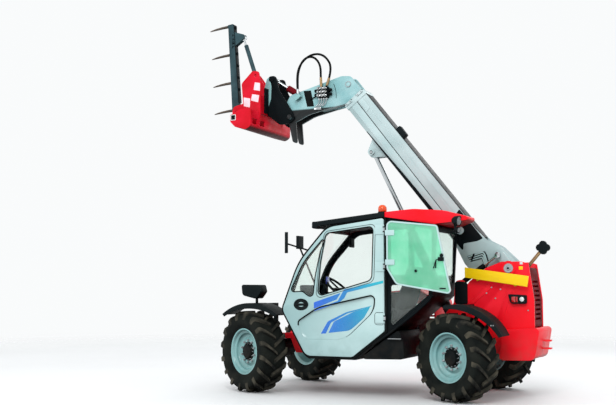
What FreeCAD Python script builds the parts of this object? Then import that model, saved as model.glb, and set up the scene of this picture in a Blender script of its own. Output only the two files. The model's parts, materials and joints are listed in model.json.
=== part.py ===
import FreeCAD, Part
import math
import os

# A compact telehandler with its boom raised, four steered wheels and a grab on the boom's head.
# Millimetres. X runs forward, Y to the machine's left, Z up from the ground.

V = FreeCAD.Vector
ORIGIN = V(0, 0, 0)
AXIS_Y = V(0, 1, 0)
AXIS_Z = V(0, 0, 1)

# Running clearance round pins, and how far the flats of a rounded corner may cut inside its arc
FIT = 0.3
ARC_SAG = 1.5

# Wheels and axles
WHEELBASE = 2300
AXLE_MID_X = -20
HUB_Z = 440
TYRE_R = 440
TYRE_W = 320
LUG_H = 30
LUG_COUNT = 16
LUG_W = 5.2
LUG_SLANT = 13
TYRE_BORE_R = 230
TYRE_SIDES = 24
RIM_FLANGE_R = 250
RIM_W = 256
RIM_WALL = 12
RIM_SIDES = 14
HUB_OUT = 104
HUB_R = 80
KINGPIN_Y = 700
KINGPIN_R = 25
SCRUB = 45
STEER_DEG = -27
SPINDLE_R = 38
BEAM_R = 58

# Mudguards, and the height at which things stand on their tops
FENDER_R = TYRE_R + 86
FENDER_STEPS = 9
FENDER_FRONT = (50, 130)
FENDER_REAR = (78, 155)
FENDER_TOP = HUB_Z + FENDER_R * math.cos(math.radians(40 / FENDER_STEPS)) + FIT

# Chassis
PLATE_T = 25
PLATE_Y = 195
FRAME_BOTTOM = 400
FRAME_TOP = 620
NOTCH_TOP = 560

# Hole of the towing hitch at the tail
HITCH_X = -1918
HITCH_PIN_R = 12

# Cab and door
CAB_Y0 = 95
CAB_Y1 = 860
CAB_WALL = 38
TUNNEL_TOP = 632
SEAT_Z = 790
GLASS_T = 6
DOOR_T = 34
DOOR_GAP = 6
HINGE_X = -456
HINGE_Y = 914
HINGE_PIN_R = 8

# Boom
PIVOT_X = -1565
PIVOT_Z = 1333
PIVOT_PIN_R = 42
BOOM_Y = -70
BOOM_W = 230
BOOM_ROOF = -36
BOOM_FLOOR = -309
BOOM_WALL = 10
BOOM_MOUTH = 2659
BOOM_ANGLE = 51.5
PAD = 5
FLOOR_PAD = 30
LIFT_EAR_GAP = 80
INNER_TAIL = 820
HEAD_W = 190
HEAD_PLATE = 22
HEAD_U = 2687

# Carriage pivot and cylinder pins, in the boom's own plane as (along, above)
CARRIAGE_PIN = (3039, -912)
TILT_BASE_PIN = (3019, -620)
LIFT_TOP_PIN = (2035, -416)
COMP_TOP_PIN = (194, -16)
PIN_R = 22
TILT_PIN_R = 18
CARRIAGE_PIN_R = 28
HEAD_PIN_REACH = 62
COMP_EYE_W = 40
PIN_SIDE_GAP = 6

# Cylinder pins on the chassis, and the tilt and grab pins in the raised pose, as (x, z)
LIFT_BASE = (-900, 740)
COMP_BASE = (-1030, 1175)
COMP_Y = 130
TILT_TOP = (1289, 3619)
GRAB_PIVOT = (1835, 3300)
GRAB_BASE = (1567, 3690)
GRAB_EYE = (1745, 4208)


def box(x0, x1, y0, y1, z0, z1):
    return Part.makeBox(x1 - x0, y1 - y0, z1 - z0, V(x0, y0, z0))


def bar(start, end, radius, sides=12):
    """Prism between two points whose corners lie on the circle of that radius."""
    start, end = V(*start), V(*end)
    turn = FreeCAD.Rotation(AXIS_Z, end - start)
    corners = []
    for i in range(sides + 1):
        angle = 2 * math.pi * (i % sides + 0.5) / sides
        corners.append(start + turn.multVec(V(radius * math.cos(angle), radius * math.sin(angle), 0)))
    return Part.Face(Part.makePolygon(corners)).extrude(end - start)


def bore(start, end, radius):
    """Round hole that clears a pin of the radius."""
    start, end = V(*start), V(*end)
    return Part.makeCylinder(radius + FIT, start.distanceToPoint(end), start, end - start)


def fuse(pieces):
    return pieces[0].multiFuse(pieces[1:]).removeSplitter() if len(pieces) > 1 else pieces[0]


def rounded_wire(corners):
    """Closed wire through (point, radius) corners, each rounded in short flats as far as its sides allow."""
    points = []
    for i, (point, radius) in enumerate(corners):
        back = corners[i - 1][0] - point
        ahead = corners[(i + 1) % len(corners)][0] - point
        half = back.getAngle(ahead) / 2
        reach = min(radius / math.tan(half), 0.48 * min(back.Length, ahead.Length))
        radius = reach * math.tan(half)
        if radius <= ARC_SAG:
            points.append(point)
            continue
        back.normalize()
        ahead.normalize()
        centre = point + (back + ahead).normalize() * (reach / math.cos(half))
        first, last, turn = point + back * reach - centre, point + ahead * reach - centre, math.pi - 2 * half
        steps = math.ceil(turn / (2 * math.acos(1 - ARC_SAG / radius)))
        for k in range(steps + 1):
            share = k / steps * turn
            points.append(centre + (first * math.sin(turn - share) + last * math.sin(share)) * (1 / math.sin(turn)))
    return Part.makePolygon(points + points[:1])


def side_face(outline, y):
    """Face in the plane at y through (x, z, radius) corners."""
    return Part.Face(rounded_wire([(V(x, y, z), radius) for x, z, radius in outline]))


def plate(outline, y0, y1):
    return side_face(outline, y0).extrude(V(0, y1 - y0, 0))


def shrunk(outline, inset, y0, y1):
    """The plate of an outline whose edge is moved in by the inset."""
    wire = rounded_wire([(V(x, y0, z), radius) for x, z, radius in outline])
    return Part.Face(wire.makeOffset2D(-inset, 2)).extrude(V(0, y1 - y0, 0))


def turned(profile, sides):
    """Solid about Y from (radius, y) corners, with flat faces whose corners lie on the true circles."""
    def circle(radius, y):
        return [V(radius * math.sin(2 * math.pi * i / sides), y, radius * math.cos(2 * math.pi * i / sides))
                for i in range(sides + 1)]
    faces = []
    for (r0, y0), (r1, y1) in zip(profile, profile[1:] + profile[:1]):
        if r0 == 0 and r1 == 0:
            continue
        a, b = circle(r0, y0), circle(r1, y1)
        for i in range(sides):
            corners = [a[i]] + ([a[i + 1]] if r0 else []) + ([b[i + 1]] if r1 else []) + [b[i]]
            faces.append(Part.Face(Part.makePolygon(corners + corners[:1])))
    return closed(faces)


def closed(faces):
    """The solid inside a closed skin of faces, turned right side out."""
    skin = Part.makeCompound(faces)
    skin.sewShape()
    solid = Part.Solid(skin.Shells[0])
    return solid if solid.Volume > 0 else solid.reversed()


def mirrored(shape):
    return shape.mirror(ORIGIN, AXIS_Y)


def boom_point(along, above, y=0):
    """A point of the boom's own plane in the machine's frame."""
    a = math.radians(BOOM_ANGLE)
    x = PIVOT_X + along * math.cos(a) - above * math.sin(a)
    z = PIVOT_Z + along * math.sin(a) + above * math.cos(a)
    return (x, y, z)


def side_point(pin):
    x, _, z = boom_point(*pin)
    return (x, z)


def raised(shape):
    """A shape drawn along the boom, turned up about the boom's pivot."""
    shape = shape.copy()
    shape.rotate(ORIGIN, AXIS_Y, -BOOM_ANGLE)
    shape.translate(V(PIVOT_X, 0, PIVOT_Z))
    return shape


# Wheels

def tyre():
    """Carcass with flat sides round it and the lugs fused on."""
    half, seat, crown = TYRE_W / 2, RIM_W / 2 - 16, TYRE_R - LUG_H
    side = [(TYRE_BORE_R, seat), (RIM_FLANGE_R + 8, seat + 18), (RIM_FLANGE_R + 85, half), (crown - 6, half - 12)]
    profile = side + [(r, -y) for r, y in reversed(side)]
    return turned(profile, TYRE_SIDES).multiFuse(lugs(crown - 12)).removeSplitter()


def lugs(foot):
    """Two rows of slanted lugs that meet in a chevron at the tread's middle."""
    inner, outer = -8, TYRE_W / 2 - 14
    made = []
    for side in (1, -1):
        for i in range(LUG_COUNT):
            angle = 360 / LUG_COUNT * (i + (0.5 if side < 0 else 0))
            ends = [(angle, side * inner, TYRE_R), (angle + LUG_SLANT, side * outer, TYRE_R - 6)]
            corners = []
            for r_drop in (0, 1):
                for centre, y, top in ends:
                    for turn in (-LUG_W / 2, LUG_W / 2):
                        a = math.radians(centre + turn * (1.25 if r_drop else 1))
                        r = foot if r_drop else top
                        corners.append(V(r * math.sin(a), y, r * math.cos(a)))
            made.append(wedge(corners))
    return made


def wedge(c):
    """Solid with six sides, each as two triangles, from its four upper and four lower corners."""
    sides = ((0, 1, 3, 2), (4, 5, 7, 6), (0, 1, 5, 4), (2, 3, 7, 6), (0, 2, 6, 4), (1, 3, 7, 5))
    faces = []
    for p, q, r, t in sides:
        faces += [Part.Face(Part.makePolygon([c[i] for i in corners]))
                  for corners in ((p, q, r, p), (p, r, t, p))]
    return closed(faces)


def rim():
    """Wheel with its barrel, dished disc and hub, bored for the spindle."""
    flange, seat, half = RIM_FLANGE_R, TYRE_BORE_R * math.cos(math.pi / TYRE_SIDES) - FIT, RIM_W / 2
    bed = seat - RIM_WALL
    outer = [(flange, -half), (seat, 16 - half), (seat, half - 16), (flange, half)]
    front = [(bed, half - 24), (bed, 60), (HUB_R + 66, 46), (HUB_R + 50, 64), (HUB_R, 64), (HUB_R - 8, HUB_OUT),
             (0, HUB_OUT)]
    back = [(0, 20), (HUB_R, 20), (HUB_R + 50, 48), (HUB_R + 72, 32), (bed, 42), (bed, 24 - half)]
    wheel = turned(outer + front + back, RIM_SIDES)
    return wheel.cut(bore((0, 10, 0), (0, HUB_OUT - 16, 0), SPINDLE_R))


def knuckle():
    """Swivel housing of the left front wheel about its kingpin, drawn with the wheel straight."""
    body = box(-44, 44, -42, 42, -82, 82)
    pin = bar((0, 0, -122), (0, 0, 122), KINGPIN_R)
    spindle = bar((0, 40, 0), (0, SCRUB + HUB_OUT - 22, 0), SPINDLE_R)
    flange = bar((0, 40, 0), (0, SCRUB + 17, 0), 60, 12)
    arm = box(-150, -30, -10, 20, -60, -36)
    return fuse([body, pin, spindle, flange, arm])


def placed_wheel(shape, x, side, scrub):
    """Sets a part of a wheel, drawn for the left side, at its axle and turned to the steered pose."""
    shape = shape.copy()
    shape.translate(V(0, scrub, 0))
    if side < 0:
        shape.rotate(ORIGIN, AXIS_Z, 180)
    shape.rotate(ORIGIN, AXIS_Z, STEER_DEG)
    shape.translate(V(x, side * KINGPIN_Y, HUB_Z))
    return shape


def wheels():
    made = {}
    parts = {"tyre": (tyre(), SCRUB), "rim": (rim(), SCRUB), "knuckle": (knuckle(), 0)}
    for end, x in axle_places().items():
        for side, sign in (("left", 1), ("right", -1)):
            for name, (shape, scrub) in parts.items():
                made[f"{name}_{end}_{side}"] = placed_wheel(shape, x, sign, scrub)
    return made


def axle_places():
    return {"front": AXLE_MID_X + WHEELBASE / 2, "rear": AXLE_MID_X - WHEELBASE / 2}


def axle(x):
    """Axle beam with its differential housing, seat pads and the forks that hold the kingpins."""
    end = KINGPIN_Y - 92
    side = [(105, 80), (BEAM_R, 150), (BEAM_R, end - 80), (84, end), (0, end)]
    beam = turned(side + [(r, -y) for r, y in reversed(side)], 12)
    beam.translate(V(x, 0, HUB_Z))
    pieces = [beam]
    for sign in (1, -1):
        pad = box(x - 60, x + 60, 152, PLATE_Y, HUB_Z, NOTCH_TOP)
        fork = box(x - 46, x + 46, KINGPIN_Y - 96, KINGPIN_Y + 34, HUB_Z - 118, HUB_Z + 118)
        fork = fork.cut(box(x - 60, x + 60, KINGPIN_Y - 68, KINGPIN_Y + 40, HUB_Z - 88, HUB_Z + 88))
        fork = fork.cut(bore((x, KINGPIN_Y, HUB_Z - 200), (x, KINGPIN_Y, HUB_Z + 200), KINGPIN_R))
        pieces += [pad, fork] if sign > 0 else [mirrored(pad), mirrored(fork)]
    return fuse(pieces)


# Chassis

TAIL_OUTLINE = [
    # x, z, rounding of the side plates, from the front round the tail
    (1190, NOTCH_TOP, 0), (1150, FRAME_TOP, 0), (-560, FRAME_TOP, 200), (-790, 740, 0), (-1150, 1200, 0),
    (-1330, 1340, 0), (-1490, 1402, 0), (-1700, 1402, 0), (-1770, 1380, 0), (-1822, 1010, 0),
    (-1822, 720, 0), (-1790, FRAME_BOTTOM, 0), (-1400, FRAME_BOTTOM, 0), (-1360, NOTCH_TOP, 0),
    (-980, NOTCH_TOP, 0), (-920, FRAME_BOTTOM, 0), (880, FRAME_BOTTOM, 0), (950, NOTCH_TOP, 0)]


def chassis_frame():
    left = plate(TAIL_OUTLINE, PLATE_Y, PLATE_Y + PLATE_T)
    pieces = [left, mirrored(left)]
    inner = PLATE_Y
    pieces.append(box(-900, 870, -inner, inner, FRAME_BOTTOM, FRAME_BOTTOM + 15))
    pieces.append(box(970, 1140, -inner, inner, NOTCH_TOP, NOTCH_TOP + 15))
    pieces.append(box(-1340, -1000, -inner, inner, NOTCH_TOP, NOTCH_TOP + 15))
    for x, top in ((860, FRAME_TOP), (-560, FRAME_TOP)):
        pieces.append(box(x - 10, x + 10, -inner, inner, FRAME_BOTTOM, top))
    for x, z in ((-1250, 700), (300, FRAME_TOP - 60)):
        pieces.append(bar((x, -inner, z), (x, inner, z), 45, 10))
    for y in (BOOM_Y - 72, BOOM_Y + 52):
        lug = plate([(LIFT_BASE[0] - 120, FRAME_BOTTOM + 5, 0), (LIFT_BASE[0] + 120, FRAME_BOTTOM + 5, 0),
                     (LIFT_BASE[0] + 60, LIFT_BASE[1] + 55, 50), (LIFT_BASE[0] - 60, LIFT_BASE[1] + 55, 50)],
                    y, y + 20)
        pieces.append(lug)
    pieces.append(box(LIFT_BASE[0] - 120, -880, -inner, inner, FRAME_BOTTOM + 5, FRAME_BOTTOM + 20))
    comp_lug = plate([(-1130, 1100, 0), (-960, 900, 0), (COMP_BASE[0] + 45, COMP_BASE[1] + 30, 40),
                      (COMP_BASE[0] - 45, COMP_BASE[1] + 45, 40)], COMP_Y + 34, PLATE_Y)
    pieces.append(comp_lug)
    for side in (1, -1):
        outer = side * (PLATE_Y + PLATE_T)
        pieces.append(bar((PIVOT_X, side * PLATE_Y, PIVOT_Z), (PIVOT_X, outer + side * 12, PIVOT_Z), 78, 16))
    frame = fuse(pieces)
    frame = frame.cut(bar((PIVOT_X, -400, PIVOT_Z), (PIVOT_X, 400, PIVOT_Z), PIVOT_PIN_R, 16))
    lift_hole = bar((LIFT_BASE[0], -400, LIFT_BASE[1]), (LIFT_BASE[0], 190, LIFT_BASE[1]), PIN_R)
    return frame.cut([lift_hole])


def frame_pins():
    """Pins fixed in the chassis: the boom's pivot and the feet of the lift and compensating cylinders."""
    end = PLATE_Y + PLATE_T + 18
    pivot = bar((PIVOT_X, -end, PIVOT_Z), (PIVOT_X, end, PIVOT_Z), PIVOT_PIN_R, 16)
    lift = bar((LIFT_BASE[0], BOOM_Y - 84, LIFT_BASE[1]), (LIFT_BASE[0], BOOM_Y + 84, LIFT_BASE[1]), PIN_R)
    comp = bar((COMP_BASE[0], COMP_Y - 30, COMP_BASE[1]), (COMP_BASE[0], COMP_Y + 34, COMP_BASE[1]), 14)
    return Part.makeCompound([pivot, lift, comp])


def counterweight():
    """Ballast that wraps the tail: a cheek outside each side plate and a slab across the back."""
    outline = [(-1835, 400, 60), (-1470, 392, 40), (-1520, 700, 40), (-1895, 728, 40)]
    outer = PLATE_Y + PLATE_T + FIT
    block = plate(outline, -325, 325).cut(box(-1824, -1400, -outer, outer, 380, 740))
    hitch = [box(-1945, -1840, -45, 45, z, z + 16) for z in (500, 580)]
    hole = Part.makeCylinder(HITCH_PIN_R + FIT, 140, V(HITCH_X, 0, 480))
    return fuse([block] + hitch).cut(hole)


def tail_shell():
    """Rear cover between the tower plates, with a louvred grille."""
    inner = PLATE_Y - FIT
    cover = plate([(-1775, 730, 0), (-1815, 730, 0), (-1815, 1010, 0), (-1770, 1340, 40), (-1740, 1340, 0),
                   (-1780, 1010, 0)], -inner, inner)
    slots = [box(-1900, -1700, -130, 130, z, z + 22) for z in range(800, 1200, 48)]
    return cover.cut(slots)


def guard_bar():
    """Yellow guard beside the boom's root, on two short legs."""
    y0 = PLATE_Y + PLATE_T
    beam = plate([(-1120, 1345, 0), (-1785, 1250, 0), (-1770, 1140, 0), (-1120, 1238, 0)], y0 + 55, y0 + 80)
    legs = [bar((x, y0, z), (x, y0 + 55, z), 14, 8) for x, z in ((-1250, 1215), (-1640, 1160))]
    return fuse([beam] + legs)


def engine_block():
    """Engine as one plain block on two feet at the right side plate."""
    face = -(PLATE_Y + PLATE_T + FIT)
    feet = [box(x, x + 80, -265, face, 460, 600) for x in (-350, 170)]
    return fuse([box(-430, 330, -640, -262, 440, 860)] + feet)


def engine_hood():
    """Hood on the right side, open below and to the chassis, with a louvred flank."""
    y0, y1, wall = -(PLATE_Y + PLATE_T + FIT), -880, 14
    outline = [(-630, 470, 30), (-630, 1000, 90), (-430, 1120, 120), (260, 1060, 160), (560, 800, 90), (560, 470, 30)]
    outer = plate(outline, y1, y0)
    inner = shrunk(outline, wall, y1 + wall, y0 + 5)
    hood = outer.cut(inner).cut(box(-590, 520, y1 + wall, y0 + 5, 440, 520))
    slots = [box(-480, -60, y1 - 5, y1 + wall + 5, z, z + 16) for z in range(620, 960, 38)]
    return hood.cut(slots)


def side_box():
    """Dark box under the cab's rear, with the step's tread along its top."""
    x = axle_places()["rear"] + TYRE_R
    outline = [(x + 580, 398, 20), (x + 90, 408, 40), (x + 105, 590, 40), (x + 150, 705, 20), (x + 252, 640, 20)]
    tank = plate(outline, PLATE_Y + PLATE_T + FIT, 850)
    tread = box(x + 118, x + 260, 850, 876, 600, 612)
    return fuse([tank, tread])


def fender(x, start, stop, inner_y, outer_y, radius, thick):
    """Arched mudguard about the axle from the start angle to the stop angle, in degrees from straight ahead."""
    def at(r, angle):
        return V(x + r * math.cos(math.radians(angle)), inner_y, HUB_Z + r * math.sin(math.radians(angle)))
    angles = [start + (stop - start) * i / FENDER_STEPS for i in range(FENDER_STEPS + 1)]
    corners = [at(radius, a) for a in angles] + [at(radius - thick, a) for a in reversed(angles)]
    return Part.Face(Part.makePolygon(corners + corners[:1])).extrude(V(0, outer_y - inner_y, 0))


def fenders():
    """Mudguards, each on an arm over the wheel; the front arms stand on posts at the side plates."""
    front, rear = axle_places()["front"], axle_places()["rear"]
    face, under = PLATE_Y + PLATE_T + FIT, HUB_Z + FENDER_R - 36
    made = []
    for x, (start, stop) in ((front, FENDER_FRONT), (rear, FENDER_REAR)):
        pieces = [fender(x, start, stop, 560, 880, FENDER_R, 14), box(x - 25, x + 25, face, 580, under, under + 30)]
        if x == front:
            pieces.append(box(x - 25, x + 25, face, face + 30, NOTCH_TOP + 2, under + 30))
        left = fuse(pieces)
        made += [left, mirrored(left)]
    return Part.makeCompound(made)


# Cab

CAB_OUTLINE = [
    # x, z, rounding of the cab's side, from the front of the sill round the rear and roof
    (440, 388, 60), (-120, 388, 40), (-462, 655, 30), (-945, 1040, 50), (-990, 1765, 40), (-450, 1856, 0),
    (205, 1792, 200), (545, 1410, 700), (742, 900, 90), (505, 470, 60)]
DOOR_OUTLINE = [
    (-442, 1846, 25), (190, 1766, 220), (520, 1400, 750), (716, 900, 90), (440, 420, 100), (-88, 420, 60),
    (-442, 690, 40)]
WINDOW_OUTLINE = [(-330, 1765, 45), (205, 1704, 60), (268, 1400, 300), (304, 1040, 45), (-310, 1210, 70)]
QUARTER_OUTLINE = [(190, 1700, 60), (470, 1400, 600), (628, 1086, 30), (480, 1095, 60), (358, 1012, 40),
                   (330, 1250, 0), (268, 1520, 300)]
REAR_PANE = [(-500, 1260, 30), (-935, 1260, 30), (-948, 1725, 30), (-500, 1800, 30)]
LOW_PANE = [(-500, 1160, 20), (-500, 735, 20), (-905, 1060, 40), (-908, 1160, 20)]


RIGHT_PANE = [(-440, 1780, 40), (170, 1715, 150), (480, 1380, 500), (600, 1080, 60), (-440, 1080, 40)]
HINGE_Z = (1728, 1348, 822)


def cab_frame():
    """Safety cell: sill, floor, pillars and roof rails with the side walls, window openings and the seat's stand."""
    tunnel = PLATE_Y + PLATE_T + FIT
    body = plate(CAB_OUTLINE, CAB_Y0, CAB_Y1).cut(box(-800, 800, 0, tunnel, 300, TUNNEL_TOP))
    inside = shrunk(CAB_OUTLINE, CAB_WALL, CAB_Y0 + 24, CAB_Y1 - 30)
    body = body.cut(inside.cut(box(-800, 800, 0, tunnel + 24, 300, TUNNEL_TOP + 24)))
    body = body.cut(shrunk(DOOR_OUTLINE, 34, CAB_Y1 - 40, CAB_Y1 + 5))
    for pane in (REAR_PANE, LOW_PANE):
        body = body.cut(plate(pane, CAB_Y0 - 5, CAB_Y1 + 5))
    body = body.cut(plate(RIGHT_PANE, CAB_Y0 - 5, CAB_Y0 + 30))
    body = body.cut(cab_openings())
    stand = box(-500, -180, 300, 680, 400, SEAT_Z).common(plate(CAB_OUTLINE, CAB_Y0, CAB_Y1))
    return body.multiFuse([stand, cab_hinges()]).removeSplitter()


def cab_openings():
    """Windscreen, rear window and roof window, as blocks that cross the cab's wall."""
    low, high = CAB_Y0 + 45, CAB_Y1 - 50
    return [box(220, 900, low, high, 990, 1720), box(-1100, -880, low, high, 1180, 1700)]


def cab_hinges():
    """Ears of the door's hinges on the cab's middle pillar, each with its pin."""
    made = []
    for z in HINGE_Z:
        for end in (-30, 18):
            ear = box(HINGE_X - 12, HINGE_X + 12, CAB_Y1 - 2, HINGE_Y + 12, z + end, z + end + 12)
            made.append(ear)
        made.append(bar((HINGE_X, HINGE_Y, z - 30), (HINGE_X, HINGE_Y, z + 30), HINGE_PIN_R, 8))
    return fuse(made)


def door_panel():
    y0, y1 = CAB_Y1 + DOOR_GAP, CAB_Y1 + DOOR_GAP + DOOR_T
    door = plate(DOOR_OUTLINE, y0, y1)
    door = door.cut(plate(WINDOW_OUTLINE, y0 - 5, y1 + 5)).cut(plate(QUARTER_OUTLINE, y0 - 5, y1 + 5))
    for z in HINGE_Z:
        arm = box(HINGE_X, HINGE_X + 90, y1 - 4, HINGE_Y + 10, z - 17, z + 17)
        door = door.fuse(arm.cut(bore((HINGE_X, HINGE_Y, z - 30), (HINGE_X, HINGE_Y, z + 30), HINGE_PIN_R)))
    clear = [box(HINGE_X - 40, HINGE_X + 14, y0 - 5, y1 + 2, z - 40, z + 40) for z in HINGE_Z]
    return door.cut(clear).removeSplitter()


def door_glass():
    middle = CAB_Y1 + DOOR_GAP + DOOR_T / 2
    return plate(QUARTER_OUTLINE, middle - GLASS_T / 2, middle + GLASS_T / 2)


def window_glass():
    """The door's upper pane, folded back along the cab's side on its own hinge straps."""
    y0 = HINGE_Y + 14
    outline = [(-504, 1800, 40), (-1015, 1742, 20), (-1150, 1085, 20), (-600, 1178, 60), (-504, 1330, 60)]
    frame = plate(outline, y0, y0 + 12)
    straps = [box(-520, HINGE_X - 12 - FIT, HINGE_Y - 6, y0, z - 14, z + 14) for z in (1690, 1390)]
    return fuse([frame] + straps)


def cab_glass():
    """Windscreen, rear, right and rear side panes, set in the middle of the cab's wall."""
    gap = (CAB_WALL - GLASS_T) / 2
    skin = shrunk(CAB_OUTLINE, gap, CAB_Y0, CAB_Y1).cut(shrunk(CAB_OUTLINE, gap + GLASS_T, CAB_Y0, CAB_Y1))
    panes = [skin.common(opening) for opening in cab_openings()]
    panes += [plate(REAR_PANE, CAB_Y1 - 18, CAB_Y1 - 12), plate(LOW_PANE, CAB_Y1 - 18, CAB_Y1 - 12)]
    panes += [plate(p, CAB_Y0 + 9, CAB_Y0 + 15) for p in (REAR_PANE, LOW_PANE, RIGHT_PANE)]
    return Part.makeCompound(panes)


def cab_roof():
    outline = [(368, 1826, 20), (-450, 1908, 0), (-450, 1856.3, 0), (205, 1792.3, 0), (300, 1780, 0), (345, 1752, 15)]
    return plate(outline, CAB_Y0 - 15, CAB_Y1 + 45)


def roof_cover():
    """Red cover over the roof's rear, which overhangs the rear window."""
    outline = [(-450.3, 1908, 0), (-760, 1930, 300), (-1080, 1905, 300), (-1330, 1835, 30), (-1320, 1800, 20),
               (-1020, 1774, 0), (-985, 1766.1, 0), (-450.3, 1856.3, 0)]
    return plate(outline, CAB_Y0 - 15, CAB_Y1 + 30)


def seat():
    base = plate([(-140, SEAT_Z, 30), (-535, SEAT_Z, 30), (-535, SEAT_Z + 110, 30), (-140, SEAT_Z + 125, 50)], 250, 730)
    back = plate([(-470, SEAT_Z + 85, 20), (-560, SEAT_Z + 85, 20), (-785, 1385, 50), (-685, 1405, 50)], 260, 720)
    return fuse([base, back])


def dashboard():
    """Console with the steering column, wheel and a small display."""
    console = plate([(560, 400, 0), (300, 400, 0), (330, 930, 40), (420, 1000, 60), (640, 960, 60), (720, 850, 0)],
                    260, 760)
    console = console.common(shrunk(CAB_OUTLINE, CAB_WALL + FIT, 260, 760))
    column = bar((400, 480, 940), (240, 480, 1120), 26, 8)
    wheel = turned([(166, -10), (190, -10), (190, 10), (166, 10)], 20)
    spokes = [box(-170, 170, -8, 8, -9, 9), box(-9, 9, -8, 8, -170, 170)]
    rest = fuse([wheel] + spokes)
    rest.rotate(ORIGIN, V(1, 0, 0), 90)
    rest.rotate(ORIGIN, AXIS_Y, -41.6)
    rest.translate(V(240, 480, 1120))
    display = box(330, 360, 560, 640, 1080, 1180)
    stalk = bar((345, 600, 900), (345, 600, 1090), 12, 6)
    return fuse([console, column, rest, display, stalk])


def mirrors():
    """Left mirror on the windscreen's pillar and right mirror on a stalk above the mudguard."""
    back = box(-17, 17, -65, 65, 1500, 1720)
    back.rotate(ORIGIN, AXIS_Z, 27)
    back.translate(V(634, CAB_Y1 + 110, 0))
    left = fuse([bar((440, CAB_Y1 - 25, 1530), (637, CAB_Y1 + 90, 1600), 9, 8), back])
    left = left.cut(shrunk(CAB_OUTLINE, -FIT, CAB_Y0, CAB_Y1 + FIT))
    x, y = axle_places()["front"] + 15, -850
    right = [bar((x, y, FENDER_TOP), (x, y, 1200), 11, 8), bar((x, y, 1190), (x + 205, y, 1640), 11, 8),
             box(x + 190, x + 222, y - 80, y + 70, 1620, 1785)]
    return Part.makeCompound([left, fuse(right)])


def lamps():
    """Head lamps over the front mudguards and tail lamps on the tail's sides."""
    front = axle_places()["front"]
    made = []
    for side in (1, -1):
        stalk = bar((front - 20, side * 740, FENDER_TOP), (front - 20, side * 740, FENDER_TOP + 64), 16, 8)
        z = FENDER_TOP + 40
        body = plate([(front - 110, z + 84, 20), (front - 90, z + 159, 20), (front + 132, z + 161, 20),
                      (front + 120, z + 44, 40), (front - 50, z + 4, 30)],
                     min(side * 660, side * 820), max(side * 660, side * 820))
        made.append(fuse([stalk, body]))
        outer = side * (PLATE_Y + PLATE_T)
        made.append(plate([(-1560, 1066, 10), (-1752, 1056, 10), (-1752, 966, 20), (-1590, 966, 30)],
                          min(outer + side * FIT, outer + side * 40), max(outer + side * FIT, outer + side * 40)))
    return Part.makeCompound(made)


def beacon():
    top = turned([(0, 0), (44, 0), (44, 20), (40, 48), (24, 62), (0, 62)], 16)
    top.rotate(ORIGIN, V(1, 0, 0), 90)
    top.translate(V(-395, 800, 1907))
    return top


def rear_lamp():
    """Lamp bracket at the tail with its round head."""
    arm = bar((-1700, 0, 1330), (-1868, 0, 1530), 16, 8)
    head = [bar((-1880 + dx, -26, 1550 + dz), (-1880 + dx, 26, 1550 + dz), 38, 12)
            for dx, dz in ((0, 34), (34, 0), (-34, 0), (0, -34))]
    foot = box(-1736, -1690, -PLATE_Y, PLATE_Y, 1310, 1334)
    return fuse([arm, foot] + head)


# Boom, drawn along X with its pivot at the zero

def boom_outer():
    y0, y1 = BOOM_Y - BOOM_W / 2, BOOM_Y + BOOM_W / 2
    root = [(-90, 20, 60), (-60, -90, 60), (229, -359, 60), (364, -369, 60), (639, BOOM_FLOOR, 60),
            (919, BOOM_FLOOR, 0), (919, BOOM_ROOF, 0), (579, BOOM_ROOF, 80), (410, -22, 60), (268, 44, 60), (50, 74, 80)]
    pieces = [plate(root, y0, y0 + 14), plate(root, y1 - 14, y1)]
    pieces.append(box(619, BOOM_MOUTH, y0, y1, BOOM_FLOOR, BOOM_ROOF))
    pieces.append(box(BOOM_MOUTH - 60, BOOM_MOUTH, y0 - 8, y1 + 8, BOOM_FLOOR - 8, BOOM_ROOF + 8))
    pieces.append(bar((0, 1 - PLATE_Y, 0), (0, PLATE_Y - 1, 0), 66, 16))
    pieces.append(box(250, 320, y0 + 5, y1 - 5, -324, -84))
    along, above = LIFT_TOP_PIN
    ear = [(along - 150, BOOM_FLOOR + 4, 0), (along - 40, above - 46, 40), (along + 45, above - 46, 40),
           (along + 130, BOOM_FLOOR + 4, 0)]
    gap = LIFT_EAR_GAP / 2
    for y in (BOOM_Y - gap - 20, BOOM_Y + gap):
        pieces.append(plate(ear, y, y + 20))
    for y in (BOOM_Y - gap - 32, BOOM_Y + gap + 19):
        pieces.append(bar((along, y, above), (along, y + 13, above), PIN_R + 8, 12))
    along, above = COMP_TOP_PIN
    ear = [(50, -43, 0), (50, 40, 20), (along + 5, above + 60, 40), (along + 45, above - 47, 40)]
    pieces.append(plate(ear, y1 - 2, COMP_Y - COMP_EYE_W / 2 - PIN_SIDE_GAP))
    for along, above in ((763, -111), (673, -181)):
        pieces.append(bar((along, y1 - 2, above), (along, y1 + 14, above), 42, 12))
    body = fuse(pieces)
    room = BOOM_WALL
    body = body.cut(box(659, BOOM_MOUTH + 10, y0 + room, y1 - room, BOOM_FLOOR + room, BOOM_ROOF - room))
    lift = LIFT_TOP_PIN[0]
    body = body.cut(box(lift - 110, lift + 120, BOOM_Y - gap, BOOM_Y + gap, BOOM_FLOOR - 1, BOOM_FLOOR + room + 1))
    mouth = (BOOM_MOUTH - 130, BOOM_MOUTH - 20, y0 + 40, y1 - 40)
    pads = [box(*mouth, BOOM_FLOOR + room - 1, BOOM_FLOOR + room + FLOOR_PAD - FIT),
            box(*mouth, BOOM_ROOF - room - PAD + FIT, BOOM_ROOF - room + 1)]
    body = fuse([body] + pads)
    body = body.cut(bore((0, -400, 0), (0, 400, 0), PIVOT_PIN_R))
    return raised(body)


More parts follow.
